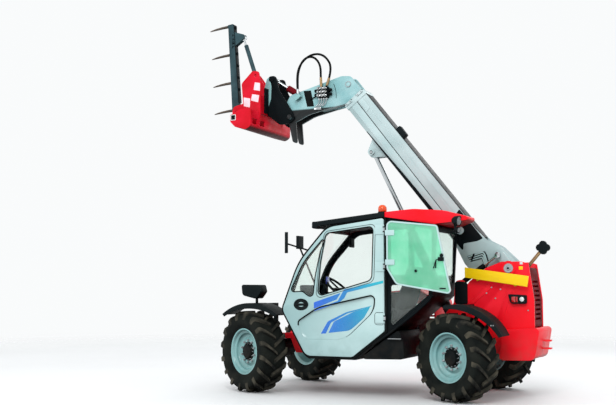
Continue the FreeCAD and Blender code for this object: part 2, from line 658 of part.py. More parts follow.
def boom_inner():
    """Telescope: a tube that runs on pads inside the outer boom."""
    room = BOOM_WALL + PAD
    y0, y1 = BOOM_Y - BOOM_W / 2 + room, BOOM_Y + BOOM_W / 2 - room
    z0, z1 = BOOM_FLOOR + BOOM_WALL + FLOOR_PAD, BOOM_ROOF - room
    tube = box(INNER_TAIL, HEAD_U, y0, y1, z0, z1)
    tube = tube.cut(box(INNER_TAIL - 10, HEAD_U - 20, y0 + 8, y1 - 8, z0 + 8, z1 - 8))
    tail = (INNER_TAIL + 20, INNER_TAIL + 130, y0 + 30, y1 - 30)
    pads = [box(*tail, z0 - FLOOR_PAD + FIT, z0 + 1), box(*tail, z1 - 1, z1 + PAD - FIT)]
    return raised(fuse([tube] + pads))


HEAD_OUTLINE = [
    (HEAD_U, -294, 0), (HEAD_U, -52, 0), (2899, -50, 50), (2979, -134, 60), (3254, -759, 50), (3209, -874, 80),
    (3109, -989, 70), (2969, -964, 60), (2909, -724, 200), (2779, -464, 120)]


def boom_head():
    """Two bent side plates with cross plates, the carriage's pin and the tilt cylinder's foot."""
    y0, y1 = BOOM_Y - HEAD_W / 2, BOOM_Y + HEAD_W / 2
    pieces = [plate(HEAD_OUTLINE, y0, y0 + HEAD_PLATE), plate(HEAD_OUTLINE, y1 - HEAD_PLATE, y1)]
    pieces.append(box(HEAD_U, HEAD_U + 14, y0, y1, -294, -52))
    top = [(2879, -64, 0), (2899, -64, 0), (2969, -134, 40), (3149, -544, 0), (3129, -554, 0), (2949, -144, 0)]
    floor = [(2709, -290, 0), (2729, -295, 0), (2809, -454, 0), (2879, -584, 0), (2861, -590, 0), (2790, -459, 0)]
    pieces += [plate(top, y0 + 5, y1 - 5), plate(floor, y0 + 5, y1 - 5)]
    along, above = CARRIAGE_PIN
    pieces.append(bar((along, y0 - HEAD_PIN_REACH, above), (along, y1 + HEAD_PIN_REACH, above), CARRIAGE_PIN_R))
    along, above = TILT_BASE_PIN
    pieces.append(bar((along, y0 + 5, above), (along, y1 - 5, above), TILT_PIN_R, 12))
    pieces.append(bar((2841, y1 - 5, -131), (2841, y1 + 14, -131), 26, 12))
    arm = [(2989, -882, 0), (3069, -952, 0), (2799, -1081, 30), (2740, -1051, 30)]
    pieces += [plate(arm, y0, y0 + HEAD_PLATE), plate(arm, y1 - HEAD_PLATE, y1)]
    return raised(fuse(pieces))


# Hydraulic cylinders

def cylinder(base, top, y, barrel_len, barrel_r, rod_r, eye_w, hole_r, rod_back, pin_reach):
    """Barrel and rod between two pins, given as (x, z). The rod starts inside the barrel and carries its own
    top pin, which reaches to both sides of the eye."""
    start, end = V(base[0], y, base[1]), V(top[0], y, top[1])
    axis = (end - start).normalize()
    eye_r, half = hole_r + 16, eye_w / 2
    foot = start + axis * (eye_r + 4)
    barrel = fuse([bar(foot, start + axis * barrel_len, barrel_r, 16), lug(start, foot, half, barrel_r * 0.7),
                   bar((start.x, y - half, start.z), (start.x, y + half, start.z), eye_r)])
    barrel = barrel.cut(bar(foot + axis * 15, end, rod_r + FIT))
    barrel = barrel.cut(bore((start.x, y - half - 5, start.z), (start.x, y + half + 5, start.z), hole_r))
    neck = end - axis * (eye_r + 6)
    rod = fuse([bar(start + axis * (barrel_len - rod_back), neck, rod_r, 12), lug(neck, end, half, rod_r),
                bar((end.x, y - half, end.z), (end.x, y + half, end.z), eye_r),
                bar((end.x, y - pin_reach, end.z), (end.x, y + pin_reach, end.z), hole_r, 12)])
    return barrel, rod


def lug(start, end, half_width, half_height):
    """Flat bar in the plane of the pins, from one point to another."""
    up = (end - start).cross(AXIS_Y).normalize() * half_height
    corners = [start + up, end + up, end - up, start - up]
    face = Part.Face(Part.makePolygon([c - AXIS_Y * half_width for c in corners + corners[:1]]))
    return face.extrude(AXIS_Y * (2 * half_width))


def cylinders():
    table = [
        # name, base pin, top pin, y, barrel length, barrel radius, rod radius, eye width, pin radius,
        # rod inside the barrel, reach of the top pin
        ("lift", LIFT_BASE, side_point(LIFT_TOP_PIN), BOOM_Y, 1140, 52, 26, 60, PIN_R, 270, 34),
        ("comp", COMP_BASE, side_point(COMP_TOP_PIN), COMP_Y, 318, 28, 13, COMP_EYE_W, 14, 123, 21),
        ("tilt", side_point(TILT_BASE_PIN), TILT_TOP, BOOM_Y, 390, 40, 20, 50, TILT_PIN_R, 180, 100),
        ("grab", GRAB_BASE, GRAB_EYE, BOOM_Y, 440, 26, 13, 36, 14, 375, 19)]
    made = {}
    for name, *sizes in table:
        made[f"{name}_barrel"], made[f"{name}_rod"] = cylinder(*sizes)
    return made


# Carriage and grab

def carriage():
    """Quick coupler that swings on the boom head's pin and carries the grab."""
    px, _, pz = boom_point(*CARRIAGE_PIN)
    tx, tz = TILT_TOP
    y0, y1 = BOOM_Y - HEAD_W / 2 - 12, BOOM_Y + HEAD_W / 2 + 12
    outline = [(px - 60, pz - 30, 40), (px - 20, pz + 70, 60), (1190, 3480, 60), (tx - 50, tz + 40, 40),
               (tx + 50, tz + 40, 40), (1345, 3500, 20), (1345, 3190, 30), (1180, 3060, 60), (px + 20, pz - 75, 50)]
    pieces = [plate(outline, y1, y1 + 20), plate(outline, y0 - 20, y0)]
    pieces.append(box(1325, 1345, y0 - 110, y1 + 110, 3200, 3500))
    pieces += [bar((1300, y0 - 10, z), (1300, y1 + 10, z), 24, 10) for z in (3300, 3440)]
    for y in (y0 - 32, y1 + 19):
        pieces.append(bar((tx, y, tz), (tx, y + 13, tz), 34, 12))
    hole = bore((px, y0 - 60, pz), (px, y1 + 60, pz), CARRIAGE_PIN_R)
    return fuse(pieces).cut(hole)


def grab_frame():
    """Red frame of the grab: a tray-shaped cross beam with two slots, uprights with ears, and the arm's bracket."""
    half, wall = 520, 10
    y0, y1 = BOOM_Y - half, BOOM_Y + half
    px, pz = GRAB_PIVOT
    bx, bz = GRAB_BASE
    beam = [(1360, 3200, 0), (1360, 3000, 50), (1430, 2965, 50), (1570, 3005, 50), (1632, 3070, 20), (1632, 3150, 0),
            (1565, 3150, 0), (1565, 3090, 0), (1520, 3035, 60), (1435, 2985, 40), (1374, 3010, 40), (1374, 3200, 0)]
    end = [(1360, 3200, 0), (1360, 3000, 50), (1430, 2965, 50), (1570, 3005, 50), (1632, 3070, 20), (1632, 3150, 20),
           (1480, 3215, 20)]
    upright = [(1372, 3020, 0), (1345.3, 3180, 0), (1345.3, 3560, 30), (1372, 3690, 30), (1452, 3700, 30),
               (1600, 3560, 40), (1560, 3150, 60), (1500, 3060, 60)]
    bracket = [(1372, 3010, 0), (1372, 3500, 30), (bx - 30, bz + 34, 30), (bx + 38, bz + 30, 30), (1600, 3400, 60),
               (px + 20, pz + 44, 40), (px + 44, pz - 40, 40), (1620, 3090, 60), (1480, 3000, 40)]
    pieces = [plate(beam, y0, y1), plate(end, y0, y0 + wall), plate(end, y1 - wall, y1)]
    for y in (BOOM_Y - 310, BOOM_Y + 290):
        pieces.append(plate(upright, y, y + 20).cut(bar((1410, y - 5, 3640), (1410, y + 25, 3640), 18)))
    pieces += [plate(bracket, y, y + 16) for y in (BOOM_Y - 50, BOOM_Y + 34)]
    pieces.append(box(1345.3, 1372, BOOM_Y - 310, BOOM_Y + 310, 3180, 3400))
    pieces.append(bar((px, BOOM_Y - 54, pz), (px, BOOM_Y + 54, pz), 18, 12))
    pieces.append(bar((bx, BOOM_Y - 54, bz), (bx, BOOM_Y + 54, bz), 14, 12))
    return fuse(pieces).cut([box(1340, 1390, y, y + 115, 3036, 3100) for y in (100, 290)])


def grab_arm():
    """Arm with a row of forward tines, which swings on the frame's bracket."""
    fx, fz = GRAB_PIVOT
    y0, y1 = BOOM_Y - 32, BOOM_Y + 32
    shaft = plate([(fx - 46, fz - 6, 30), (fx - 20, fz - 44, 30), (fx + 30, fz - 44, 30), (fx + 50, fz, 30),
                   (fx + 118, 4385, 20), (fx + 40, 4395, 20)], y0, y1)
    ear = plate([(GRAB_EYE[0] - 30, GRAB_EYE[1] - 10, 20), (GRAB_EYE[0] - 20, GRAB_EYE[1] + 34, 20),
                 (fx + 60, GRAB_EYE[1] + 90, 0), (fx + 60, GRAB_EYE[1] - 130, 0)], y0, y0 + 8)
    ears = [ear, ear.copy()]
    ears[1].translate(V(0, y1 - y0 - 8, 0))
    tines = []
    for z, x in ((4370, fx + 112), (4010, fx + 84), (3655, fx + 62), (3310, fx + 40)):
        tines.append(plate([(x - 10, z - 17, 0), (x - 10, z + 17, 0), (x + 280, z - 26, 0), (x + 280, z - 38, 0)],
                           BOOM_Y - 10, BOOM_Y + 10))
    body = fuse([shaft] + ears + tines)
    return body.cut(bore((fx, y0 - 5, fz), (fx, y1 + 5, fz), 18))


HOSE_R = 13
HOSE_RUNS = {
    # name: distance of the hose from the head's plate, and the (x, z) corners of its run over the head
    "hose_low": (17, [(640, 3430), (652, 3700), (735, 3880), (910, 3790), (958, 3600), (942, 3370)]),
    "hose_high": (48, [(580, 3430), (475, 3660), (590, 3850), (770, 3870), (920, 3750), (950, 3560), (926, 3370)])}


def couplings():
    """Coupling block on the head's left plate and the clip at its nose that takes the hoses' far ends."""
    y0 = BOOM_Y + HEAD_W / 2 + FIT
    return Part.makeCompound([raised(box(2899, 3049, y0, y0 + 66, -494, -334)),
                              raised(box(3125, 3175, y0, y0 + 66, -730, -650))])


def hoses():
    """Hose loops over the head, which end face to face with the coupling block and the clip."""
    y0, blocks = BOOM_Y + HEAD_W / 2 + FIT, couplings()
    return {name: bent_tube([V(x, y0 + out, z) for x, z in run], HOSE_R, 7).cut(blocks)
            for name, (out, run) in HOSE_RUNS.items()}


def bent_tube(points, radius, sides):
    """Tube with flat sides along straight runs and the round bends between them, in a plane across Y."""
    path = [points[0]]
    for before, at, after in zip(points, points[1:], points[2:]):
        back, ahead = before - at, after - at
        reach = 0.45 * min(back.Length, ahead.Length)
        first, last = at + back.normalize() * reach, at + ahead.normalize() * reach
        steps = max(2, round((180 - math.degrees(back.getAngle(ahead))) / 20))
        for i in range(steps + 1):
            t = i / steps
            path.append(first * (1 - t) ** 2 + at * (2 * t * (1 - t)) + last * t ** 2)
    path.append(points[-1])
    rings = []
    for i, point in enumerate(path):
        ahead = (path[min(i + 1, len(path) - 1)] - point) if i < len(path) - 1 else point - path[i - 1]
        back = point - path[i - 1] if i else ahead
        ahead.normalize()
        back = V(back).normalize()
        middle = (ahead + back).normalize()
        out = middle.cross(AXIS_Y) * (1 / math.cos(ahead.getAngle(back) / 2))
        angles = [2 * math.pi * k / sides for k in range(sides + 1)]
        rings.append([point + out * (radius * math.cos(a)) + AXIS_Y * (radius * math.sin(a)) for a in angles])
    faces = [Part.Face(Part.makePolygon(rings[0])), Part.Face(Part.makePolygon(rings[-1]))]
    for a, b in zip(rings, rings[1:]):
        faces += [Part.Face(Part.makePolygon([a[k], a[k + 1], b[k + 1], b[k], a[k]])) for k in range(sides)]
    return closed(faces)


def build():
    axles = axle_places()
    shapes = {
        "chassis_frame": chassis_frame(), "frame_pins": frame_pins(), "axle_front": axle(axles["front"]),
        "axle_rear": axle(axles["rear"]), "engine_block": engine_block(), "engine_hood": engine_hood(),
        "tail_shell": tail_shell(), "counterweight": counterweight(), "guard_bar": guard_bar(),
        "fenders": fenders(), "side_box": side_box(), "cab_frame": cab_frame(), "cab_roof": cab_roof(),
        "roof_cover": roof_cover(), "cab_glass": cab_glass(), "seat": seat(), "dashboard": dashboard(),
        "mirrors": mirrors(), "lamps": lamps(), "beacon": beacon(), "rear_lamp": rear_lamp(),
        "door_panel": door_panel(), "door_glass": door_glass(), "window_glass": window_glass(),
        "boom_outer": boom_outer(), "boom_inner": boom_inner(), "boom_head": boom_head(), "couplings": couplings(),
        "carriage": carriage(), "grab_frame": grab_frame(), "grab_arm": grab_arm()}
    shapes.update(hoses())
    shapes.update(cylinders())
    shapes.update(wheels())
    return shapes


def middle_x(shapes):
    """The middle of the machine's length, which becomes the zero of X."""
    boxes = [shape.BoundBox for shape in shapes.values()]
    return (min(b.XMin for b in boxes) + max(b.XMax for b in boxes)) / 2


def main():
    os.makedirs("parts", exist_ok=True)
    shapes = build()
    shift = V(-middle_x(shapes), 0, 0)
    for name, shape in shapes.items():
        shape.translate(shift)
        shape.exportStep(f"parts/{name}.step")


if __name__ == "__main__":
    main()
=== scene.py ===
# %% [markdown]
# A compact telehandler, dressed in Blender over its CAD model. The machine carries a raised telescopic boom
# with a comb-like grab, a cab with an open side window, a red chassis and four steered wheels.
# The CAD model gives every size and place, and each cell here adds the finish of one group of pieces.

# %% Load the CAD frame
import json
import math

import bmesh
import bpy
from mathutils import Matrix, Vector


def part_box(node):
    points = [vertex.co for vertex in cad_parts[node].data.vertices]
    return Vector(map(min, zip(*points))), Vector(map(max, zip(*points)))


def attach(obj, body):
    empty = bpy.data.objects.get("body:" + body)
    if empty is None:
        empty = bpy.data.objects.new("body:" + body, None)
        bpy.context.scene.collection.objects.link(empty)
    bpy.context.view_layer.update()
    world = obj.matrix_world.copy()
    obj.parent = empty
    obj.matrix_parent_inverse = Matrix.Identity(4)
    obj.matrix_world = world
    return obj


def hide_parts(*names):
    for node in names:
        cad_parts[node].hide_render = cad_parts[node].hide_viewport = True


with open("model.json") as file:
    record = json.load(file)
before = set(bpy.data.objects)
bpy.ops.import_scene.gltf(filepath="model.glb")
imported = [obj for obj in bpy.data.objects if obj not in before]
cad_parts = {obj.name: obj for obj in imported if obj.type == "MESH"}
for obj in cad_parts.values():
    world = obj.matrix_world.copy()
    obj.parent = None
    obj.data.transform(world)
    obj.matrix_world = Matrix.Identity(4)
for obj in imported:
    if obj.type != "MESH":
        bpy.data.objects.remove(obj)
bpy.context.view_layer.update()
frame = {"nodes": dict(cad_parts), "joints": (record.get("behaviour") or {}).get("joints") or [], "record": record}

# The machine's own X has its front axle here, and the frame is moved along X as a whole
FRONT_AXLE_X = 1.13
axle_low, axle_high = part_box("axle_front")
SHIFT = (axle_low.x + axle_high.x) / 2 - FRONT_AXLE_X
BODY_OF = {node: body for body, nodes in frame["record"]["behaviour"]["bodies"].items() for node in nodes}


def at(x, y, z):
    """A point of the machine's own frame, from millimetres."""
    return Vector((x / 1000 + SHIFT, y / 1000, z / 1000))


def linked(name, data):
    """New object in the scene."""
    piece = bpy.data.objects.new(name, data)
    bpy.context.scene.collection.objects.link(piece)
    return piece


# %% [markdown]
# The camera comes first, because every finish is judged through it. Its place was worked out from known sizes of
# the machine, such as the wheels and the cab, and their places in the photograph.

# %% Camera
IMAGE_W = 616
FOCAL_PX = 960.64
SENSOR_MM = 36.0
CAMERA_YAW = math.radians(25.156)
CAMERA_PITCH = math.radians(5.056)

camera_data = bpy.data.cameras.new("camera")
camera_data.sensor_width = SENSOR_MM
camera_data.lens = FOCAL_PX / IMAGE_W * SENSOR_MM
camera = linked("camera", camera_data)
camera.location = at(-3925.4, 10136.9, 1134.4)
look = Vector((math.sin(CAMERA_YAW) * math.cos(CAMERA_PITCH), -math.cos(CAMERA_YAW) * math.cos(CAMERA_PITCH),
               math.sin(CAMERA_PITCH)))
camera.rotation_euler = look.to_track_quat("-Z", "Y").to_euler()
bpy.context.scene.camera = camera

# %% [markdown]
# A plain pale floor and three large soft lamps stand in for a studio. Large lamps give long, quiet highlights,
# which is how paint shows that it is glossy.

# %% Floor and lights
def area_light(name, place, aim, size, power, colour=(1, 1, 1)):
    data = bpy.data.lights.new(name, "AREA")
    data.shape, data.size, data.energy, data.color = "DISK", size, power, colour
    light = linked(name, data)
    light.location = place
    light.rotation_euler = (Vector(aim) - Vector(place)).to_track_quat("-Z", "Y").to_euler()


area_light("key", (-2.5, 8.5, 7.5), (0, 0, 1.5), 4.5, 420)
area_light("fill", (6.5, 6.0, 3.5), (0, 0, 1.2), 4.0, 90, (0.93, 0.97, 1.0))
area_light("back", (-1.5, -6.5, 5.5), (0, 0, 2.0), 4.0, 90)
world = bpy.data.worlds.new("studio")
world.use_nodes = True
world.node_tree.nodes["Background"].inputs["Color"].default_value = (0.97, 0.985, 0.99, 1)
world.node_tree.nodes["Background"].inputs["Strength"].default_value = 0.98
bpy.context.scene.world = world
bpy.context.scene.view_settings.view_transform = "Standard"

FLOOR = 40
floor_mesh = bpy.data.meshes.new("floor")
floor_mesh.from_pydata([(-FLOOR, -FLOOR, 0), (FLOOR, -FLOOR, 0), (FLOOR, FLOOR, 0), (-FLOOR, FLOOR, 0)], [],
                       [(0, 1, 2, 3)])
linked("floor", floor_mesh)

# %% [markdown]
# Paint, rubber and plastic differ in gloss and in how even they are, not only in colour. One helper builds all of
# them from noise on Object coordinates: a broad cloud shifts the colour, a fine grain changes the gloss and the
# relief, and dust gathers low on the machine; on the door the same low darkening is a painted shade. Faces that
# look down get a painted shade. What is the same all over is set on the shader itself.

# %% Material helper
FINISH = {}
RANGE = ("From Min", "From Max", "To Min", "To Max")
SOCKETS = {"coat": "Coat Weight", "spec": "Specular IOR Level", "metal": "Metallic", "clear": "Transmission Weight",
           "ior": "IOR"}


def finish(name, colour, other=None, rough=0.4, spread=0.35, cloud=2.5, grain=60.0, relief=0.03, dust_and_low_shade=None,
           shade=None, under=0.3, **sockets):
    """Material with a clouded colour, grained gloss and relief. The low mask, (low, high, amount, colour) in metres,
    adds dust on most finishes and a painted shade on the door; shade is (axis, start, end, colour) of a change along an
    axis; and under is the share of the colour that a painted shade leaves on faces that look down."""
    material = FINISH[name] = bpy.data.materials.new(name)
    material.use_nodes = True
    nodes, links = material.node_tree.nodes, material.node_tree.links
    shader = nodes["Principled BSDF"]
    place = nodes.new("ShaderNodeTexCoord").outputs["Object"]

    def noise(scale, detail):
        node = nodes.new("ShaderNodeTexNoise")
        node.inputs["Scale"].default_value, node.inputs["Detail"].default_value = scale, detail
        links.new(place, node.inputs["Vector"])
        return node.outputs["Fac"]

    def along(value, axis):
        node = nodes.new("ShaderNodeSeparateXYZ")
        links.new(value, node.inputs[0])
        return node.outputs[axis]

    def spread_over(value, *numbers):
        node = nodes.new("ShaderNodeMapRange")
        for socket, number in zip(RANGE, numbers):
            node.inputs[socket].default_value = number
        links.new(value, node.inputs["Value"])
        return node.outputs["Result"]

    def mixed(factor, first, second):
        node = nodes.new("ShaderNodeMix")
        node.data_type = "RGBA"
        links.new(factor, node.inputs["Factor"])
        for socket, value in ((node.inputs["A"], first), (node.inputs["B"], second)):
            if isinstance(value, tuple):
                socket.default_value = (*value, 1)
            else:
                links.new(value, socket)
        return node.outputs["Result"]

    other = other or tuple(min(1, c * (1 + spread)) for c in colour)
    tint = mixed(spread_over(noise(cloud, 4), 0.35, 0.65, 0, 1), colour, other)
    if shade:
        axis, start, end, shade_colour = shade
        tint = mixed(spread_over(along(place, axis), start, end, 0, 1), tint, shade_colour)
    if relief:
        # Faces that look down are darkened to under times the colour: a painted shade.
        facing = along(nodes.new("ShaderNodeNewGeometry").outputs["Normal"], "Z")
        tint = mixed(spread_over(facing, -0.15, -0.75, 0, 1), tint, tuple(c * under for c in colour))
    # Low parts blend to the low mask's colour: dust on most finishes, a painted shade on the door.
    if dust_and_low_shade:
        low, high, amount, dust_and_low_shade_colour = dust_and_low_shade
        cover = nodes.new("ShaderNodeMath")
        cover.operation = "MULTIPLY"
        links.new(spread_over(along(place, "Z"), low, high, amount, 0), cover.inputs[0])
        links.new(spread_over(noise(9, 6), 0.4, 0.62, 0.15, 1), cover.inputs[1])
        tint = mixed(cover.outputs[0], tint, dust_and_low_shade_colour)
    links.new(tint, shader.inputs["Base Color"])
    gloss = spread_over(noise(grain * 0.4, 5), 0.3, 0.7, rough * 0.85, min(1, rough * 1.2))
    links.new(gloss, shader.inputs["Roughness"])
    if relief:
        bump = nodes.new("ShaderNodeBump")
        bump.inputs["Strength"].default_value, bump.inputs["Distance"].default_value = relief, 0.004
        links.new(noise(grain, 3), bump.inputs["Height"])
        links.new(bump.outputs["Normal"], shader.inputs["Normal"])
    for socket, value in sockets.items():
        shader.inputs[SOCKETS[socket]].default_value = value
    return material


MUD = (0.16, 0.12, 0.085)
finish("body_red", (0.84, 0.004, 0.011), (0.92, 0.010, 0.026), 0.38, coat=0.03, spec=0.12,
       dust_and_low_shade=(0.3, 0.75, 0.3, MUD))
finish("dark_red", (0.11, 0.002, 0.005), rough=0.6, spec=0.08)
# Faces of the grab frame that look down keep 8 % of its red: a deep painted shade under the beam.
finish("grab_red", (0.50, 0.003, 0.010), (0.64, 0.006, 0.025), 0.45, cloud=5, under=0.08, spec=0.1)
finish("band_white", (0.72, 0.52, 0.57), rough=0.35, cloud=14, spec=0.3)
# The door is darker towards its front end and towards its bottom: both are painted shade.
finish("door_silver", (0.38, 0.55, 0.55), (0.44, 0.60, 0.60), 0.32, shade=("X", -0.40, 0.80, (0.19, 0.34, 0.345)),
       coat=0.35, dust_and_low_shade=(0.35, 0.75, 0.35, (0.14, 0.24, 0.23)))
finish("boom_grey", (0.36, 0.49, 0.50), (0.47, 0.59, 0.60), 0.35, coat=0.2, spec=0.35)
finish("head_grey", (0.20, 0.41, 0.43), (0.32, 0.52, 0.54), 0.35, cloud=5,
       shade=("Z", 3.236, 3.220, (0.006, 0.008, 0.009)), spec=0.3)
finish("arm_teal", (0.016, 0.036, 0.044), (0.040, 0.085, 0.098), 0.45, cloud=4, spec=0.12)
finish("tine_steel", (0.055, 0.042, 0.032), (0.13, 0.10, 0.075), 0.5, cloud=14, grain=160, relief=0.2, spec=0.2)
finish("rim_grey", (0.155, 0.345, 0.35), (0.22, 0.43, 0.43), 0.38, coat=0.2, dust_and_low_shade=(0.1, 0.6, 0.3, MUD))
finish("frame_black", (0.003, 0.005, 0.006), rough=0.45, spec=0.05, dust_and_low_shade=(0.2, 0.8, 0.10, MUD))
finish("plastic_black", (0.005, 0.008, 0.009), rough=0.55, grain=300, relief=0.15, spec=0.06,
       dust_and_low_shade=(0.5, 1.1, 0.04, MUD))
finish("rubber", (0.005, 0.006, 0.006), rough=0.7, grain=120, relief=0.2, spec=0.06)
finish("tread", (0.004, 0.006, 0.006), (0.012, 0.014, 0.012), 0.75, cloud=7, grain=70, relief=0.35, spec=0.05,
       dust_and_low_shade=(-0.1, 1.1, 0.14, (0.05, 0.046, 0.034)))
finish("lug_wear", (0.012, 0.013, 0.012), (0.07, 0.064, 0.048), 0.75, cloud=9, grain=70, relief=0.35, spec=0.06)
finish("rail_yellow", (0.90, 0.58, 0.002), rough=0.35, spread=0.06, coat=0.1, spec=0.2)
finish("steel", (0.34, 0.36, 0.37), rough=0.32, grain=140, relief=0.1, metal=0.9)
finish("chrome", (0.46, 0.49, 0.50), rough=0.14, spread=0.05, relief=0.0, metal=1.0)
finish("brass", (0.30, 0.20, 0.10), rough=0.4, grain=150, metal=0.9)
finish("engine_iron", (0.04, 0.044, 0.048), rough=0.5, grain=40, relief=0.3, metal=0.5)
finish("orange_lens", (0.60, 0.045, 0.004), (0.74, 0.085, 0.008), 0.12, cloud=18, relief=0.0, coat=0.5, spec=0.3)
finish("red_lens", (0.40, 0.003, 0.004), rough=0.12, spread=0.2, relief=0.0, coat=0.8)
finish("clear_lens", (0.62, 0.68, 0.68), rough=0.08, spread=0.1, cloud=30, relief=0.0, coat=1.0)
finish("smoked_lens", (0.06, 0.075, 0.08), rough=0.08, spread=0.9, cloud=40, relief=0.0, coat=0.6)
finish("glass", (0.90, 0.97, 0.94), rough=0.03, spread=0.03, relief=0.0, clear=0.95, ior=1.08)
finish("green_glass", (0.20, 0.76, 0.48), (0.40, 0.90, 0.66), 0.05, cloud=3, relief=0.0, clear=0.55, ior=1.3,
       coat=0.6)
finish("screen", (0.01, 0.02, 0.35), (0.01, 0.05, 0.6), 0.15, cloud=20, relief=0.0, coat=1.0)
finish("seat_cloth", (0.012, 0.014, 0.018), (0.025, 0.028, 0.034), 0.85, cloud=60, grain=700, relief=0.4)
floor_mesh.materials.append(finish("floor_pale", (0.84, 0.85, 0.86), rough=0.6, spread=0.03, cloud=0.4, grain=20))

FADE = (6.0, 15.0)   # the floor thins out between these distances, so no edge shows against the pale world
floor_nodes, floor_links = FINISH["floor_pale"].node_tree.nodes, FINISH["floor_pale"].node_tree.links
reach = floor_nodes.new("ShaderNodeVectorMath")
reach.operation = "LENGTH"
floor_links.new(floor_nodes.new("ShaderNodeTexCoord").outputs["Object"], reach.inputs[0])
thin = floor_nodes.new("ShaderNodeMapRange")
thin.interpolation_type = "SMOOTHSTEP"
for socket, number in zip(RANGE, (*FADE, 1, 0)):
    thin.inputs[socket].default_value = number
floor_links.new(reach.outputs["Value"], thin.inputs["Value"])
floor_links.new(thin.outputs["Result"], floor_nodes["Principled BSDF"].inputs["Alpha"])

# %% [markdown]
# The coloured flashes on the door run from deep blue to turquoise. A colour ramp along the machine's length does
# that, with the same soft gloss as the paint beside it.

# %% Blue flash material
FLASH_FROM, FLASH_TO = 0.30, -0.45
FLASH_STOPS = ((0, (0.0, 0.10, 0.55, 1)), (0.5, (0.0, 0.20, 0.45, 1)), (1, (0.0, 0.42, 0.50, 1)))

flash = finish("flash_blue", (0.0, 0.1, 0.4), rough=0.25, relief=0.01, coat=0.6).node_tree
split = flash.nodes.new("ShaderNodeSeparateXYZ")
span = flash.nodes.new("ShaderNodeMapRange")
span.inputs["From Min"].default_value = FLASH_FROM + SHIFT
span.inputs["From Max"].default_value = FLASH_TO + SHIFT
ramp = flash.nodes.new("ShaderNodeValToRGB")
ramp.color_ramp.elements.new(0.5)
for element, (position, colour) in zip(ramp.color_ramp.elements, FLASH_STOPS):
    element.position, element.color = position, colour
flash.links.new(flash.nodes.new("ShaderNodeTexCoord").outputs["Object"], split.inputs[0])
flash.links.new(split.outputs["X"], span.inputs["Value"])
flash.links.new(span.outputs["Result"], ramp.inputs["Fac"])
flash.links.new(ramp.outputs["Color"], flash.nodes["Principled BSDF"].inputs["Base Color"])

# %% [markdown]
# Most pieces are made the same few ways. A flat part is an outline with rounded corners and holes, which a filled
# curve turns into a plate with eased edges. A pipe is a ring of points carried along a path. A turned part is a
# profile carried round an axis. A CAD node can also be copied, merged and given eased edges. All take millimetres.

# %% Mesh helpers
CORNER_STEPS = 8
TINY = 0.01


def add(name, meshes, body, finish_name, smooth=32, replaces=()):
    """Puts a mesh, or a list of meshes joined into one, on a body of the machine."""
    mesh = joined(meshes) if isinstance(meshes, list) else meshes
    piece = linked(name, mesh)
    mesh.materials.clear()
    mesh.materials.append(FINISH[finish_name])
    mesh.shade_smooth()
    mesh.set_sharp_from_angle(angle=math.radians(smooth))
    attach(piece, body)
    if replaces:
        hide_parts(*replaces)
    return piece


def baked(piece):
    """The mesh of an object as its modifiers show it; the object is then deleted."""
    bpy.context.view_layer.update()
    mesh = bpy.data.meshes.new_from_object(piece.evaluated_get(bpy.context.evaluated_depsgraph_get()))
    bpy.data.objects.remove(piece)
    return mesh


def emptied(work):
    """Mesh of a bmesh, which is then freed."""
    mesh = bpy.data.meshes.new("mesh")
    work.to_mesh(mesh)
    work.free()
    return mesh


def joined(meshes):
    """One mesh made of several."""
    work = bmesh.new()
    for mesh in meshes:
        work.from_mesh(mesh)
        bpy.data.meshes.remove(mesh)
    return emptied(work)


def cleaned(mesh, merge=0.00005):
    """The same mesh with its double points merged and its faces turned outwards."""
    work = bmesh.new()
    work.from_mesh(mesh)
    bmesh.ops.remove_doubles(work, verts=work.verts, dist=merge)
    bmesh.ops.recalc_face_normals(work, faces=work.faces)
    work.to_mesh(mesh)
    work.free()
    return mesh


def rounded(corners):
    """Points of a closed (u, v) outline whose (u, v, radius) corners are rounded."""
    points = []
    for i, (u, v, radius) in enumerate(corners):
        point = Vector((u, v))
        back = Vector(corners[i - 1][:2]) - point
        ahead = Vector(corners[(i + 1) % len(corners)][:2]) - point
        half = back.angle(ahead) / 2
        reach = min(radius / math.tan(half), 0.48 * min(back.length, ahead.length))
        if reach < TINY:
            points.append(point)
            continue
        centre = point + (back.normalized() + ahead.normalized()).normalized() * (reach / math.cos(half))
        first, last = point + back.normalized() * reach - centre, point + ahead.normalized() * reach - centre
        turn = math.pi - 2 * half
        for k in range(CORNER_STEPS + 1):
            share = k / CORNER_STEPS * turn
            points.append(centre + (first * math.sin(turn - share) + last * math.sin(share)) / math.sin(turn))
    return points


def panel(outlines, y0, y1, ease=2):
    """Plate across Y from outlines in (x, z, radius) corners: the first is its edge and the others are holes."""
    curve = bpy.data.curves.new("panel", "CURVE")
    curve.dimensions, curve.fill_mode, curve.bevel_resolution = "2D", "BOTH", 1
    curve.extrude, curve.bevel_depth, curve.offset = ((y1 - y0) / 2 - ease) / 1000, ease / 1000, -ease / 1000
    for outline in outlines:
        spline = curve.splines.new("POLY")
        points = rounded(outline)
        spline.points.add(len(points) - 1)
        for point, (x, z) in zip(spline.points, points):
            point.co = (x / 1000 + SHIFT, z / 1000, 0, 1)
        spline.use_cyclic_u = True
    mesh = baked(linked("panel", curve))
    mesh.transform(Matrix.Translation((0, (y0 + y1) / 2000, 0)) @ Matrix.Rotation(math.pi / 2, 4, "X"))
    return cleaned(mesh)


def skin(rings, caps=True, loop=False):
    """Mesh through closed rings of points of equal count; a loop joins the last ring to the first."""
    count, last = len(rings[0]), len(rings) - 1
    faces = []
    for a, b in [(i, i + 1) for i in range(last)] + ([(last, 0)] if loop else []):
        for k in range(count):
            n = (k + 1) % count
            faces.append((a * count + k, a * count + n, b * count + n, b * count + k))
    if caps and not loop:
        faces += [range(count), range(last * count, (last + 1) * count)]
    mesh = bpy.data.meshes.new("skin")
    mesh.from_pydata([p for ring in rings for p in ring], [], faces)
    return cleaned(mesh, 1e-6)


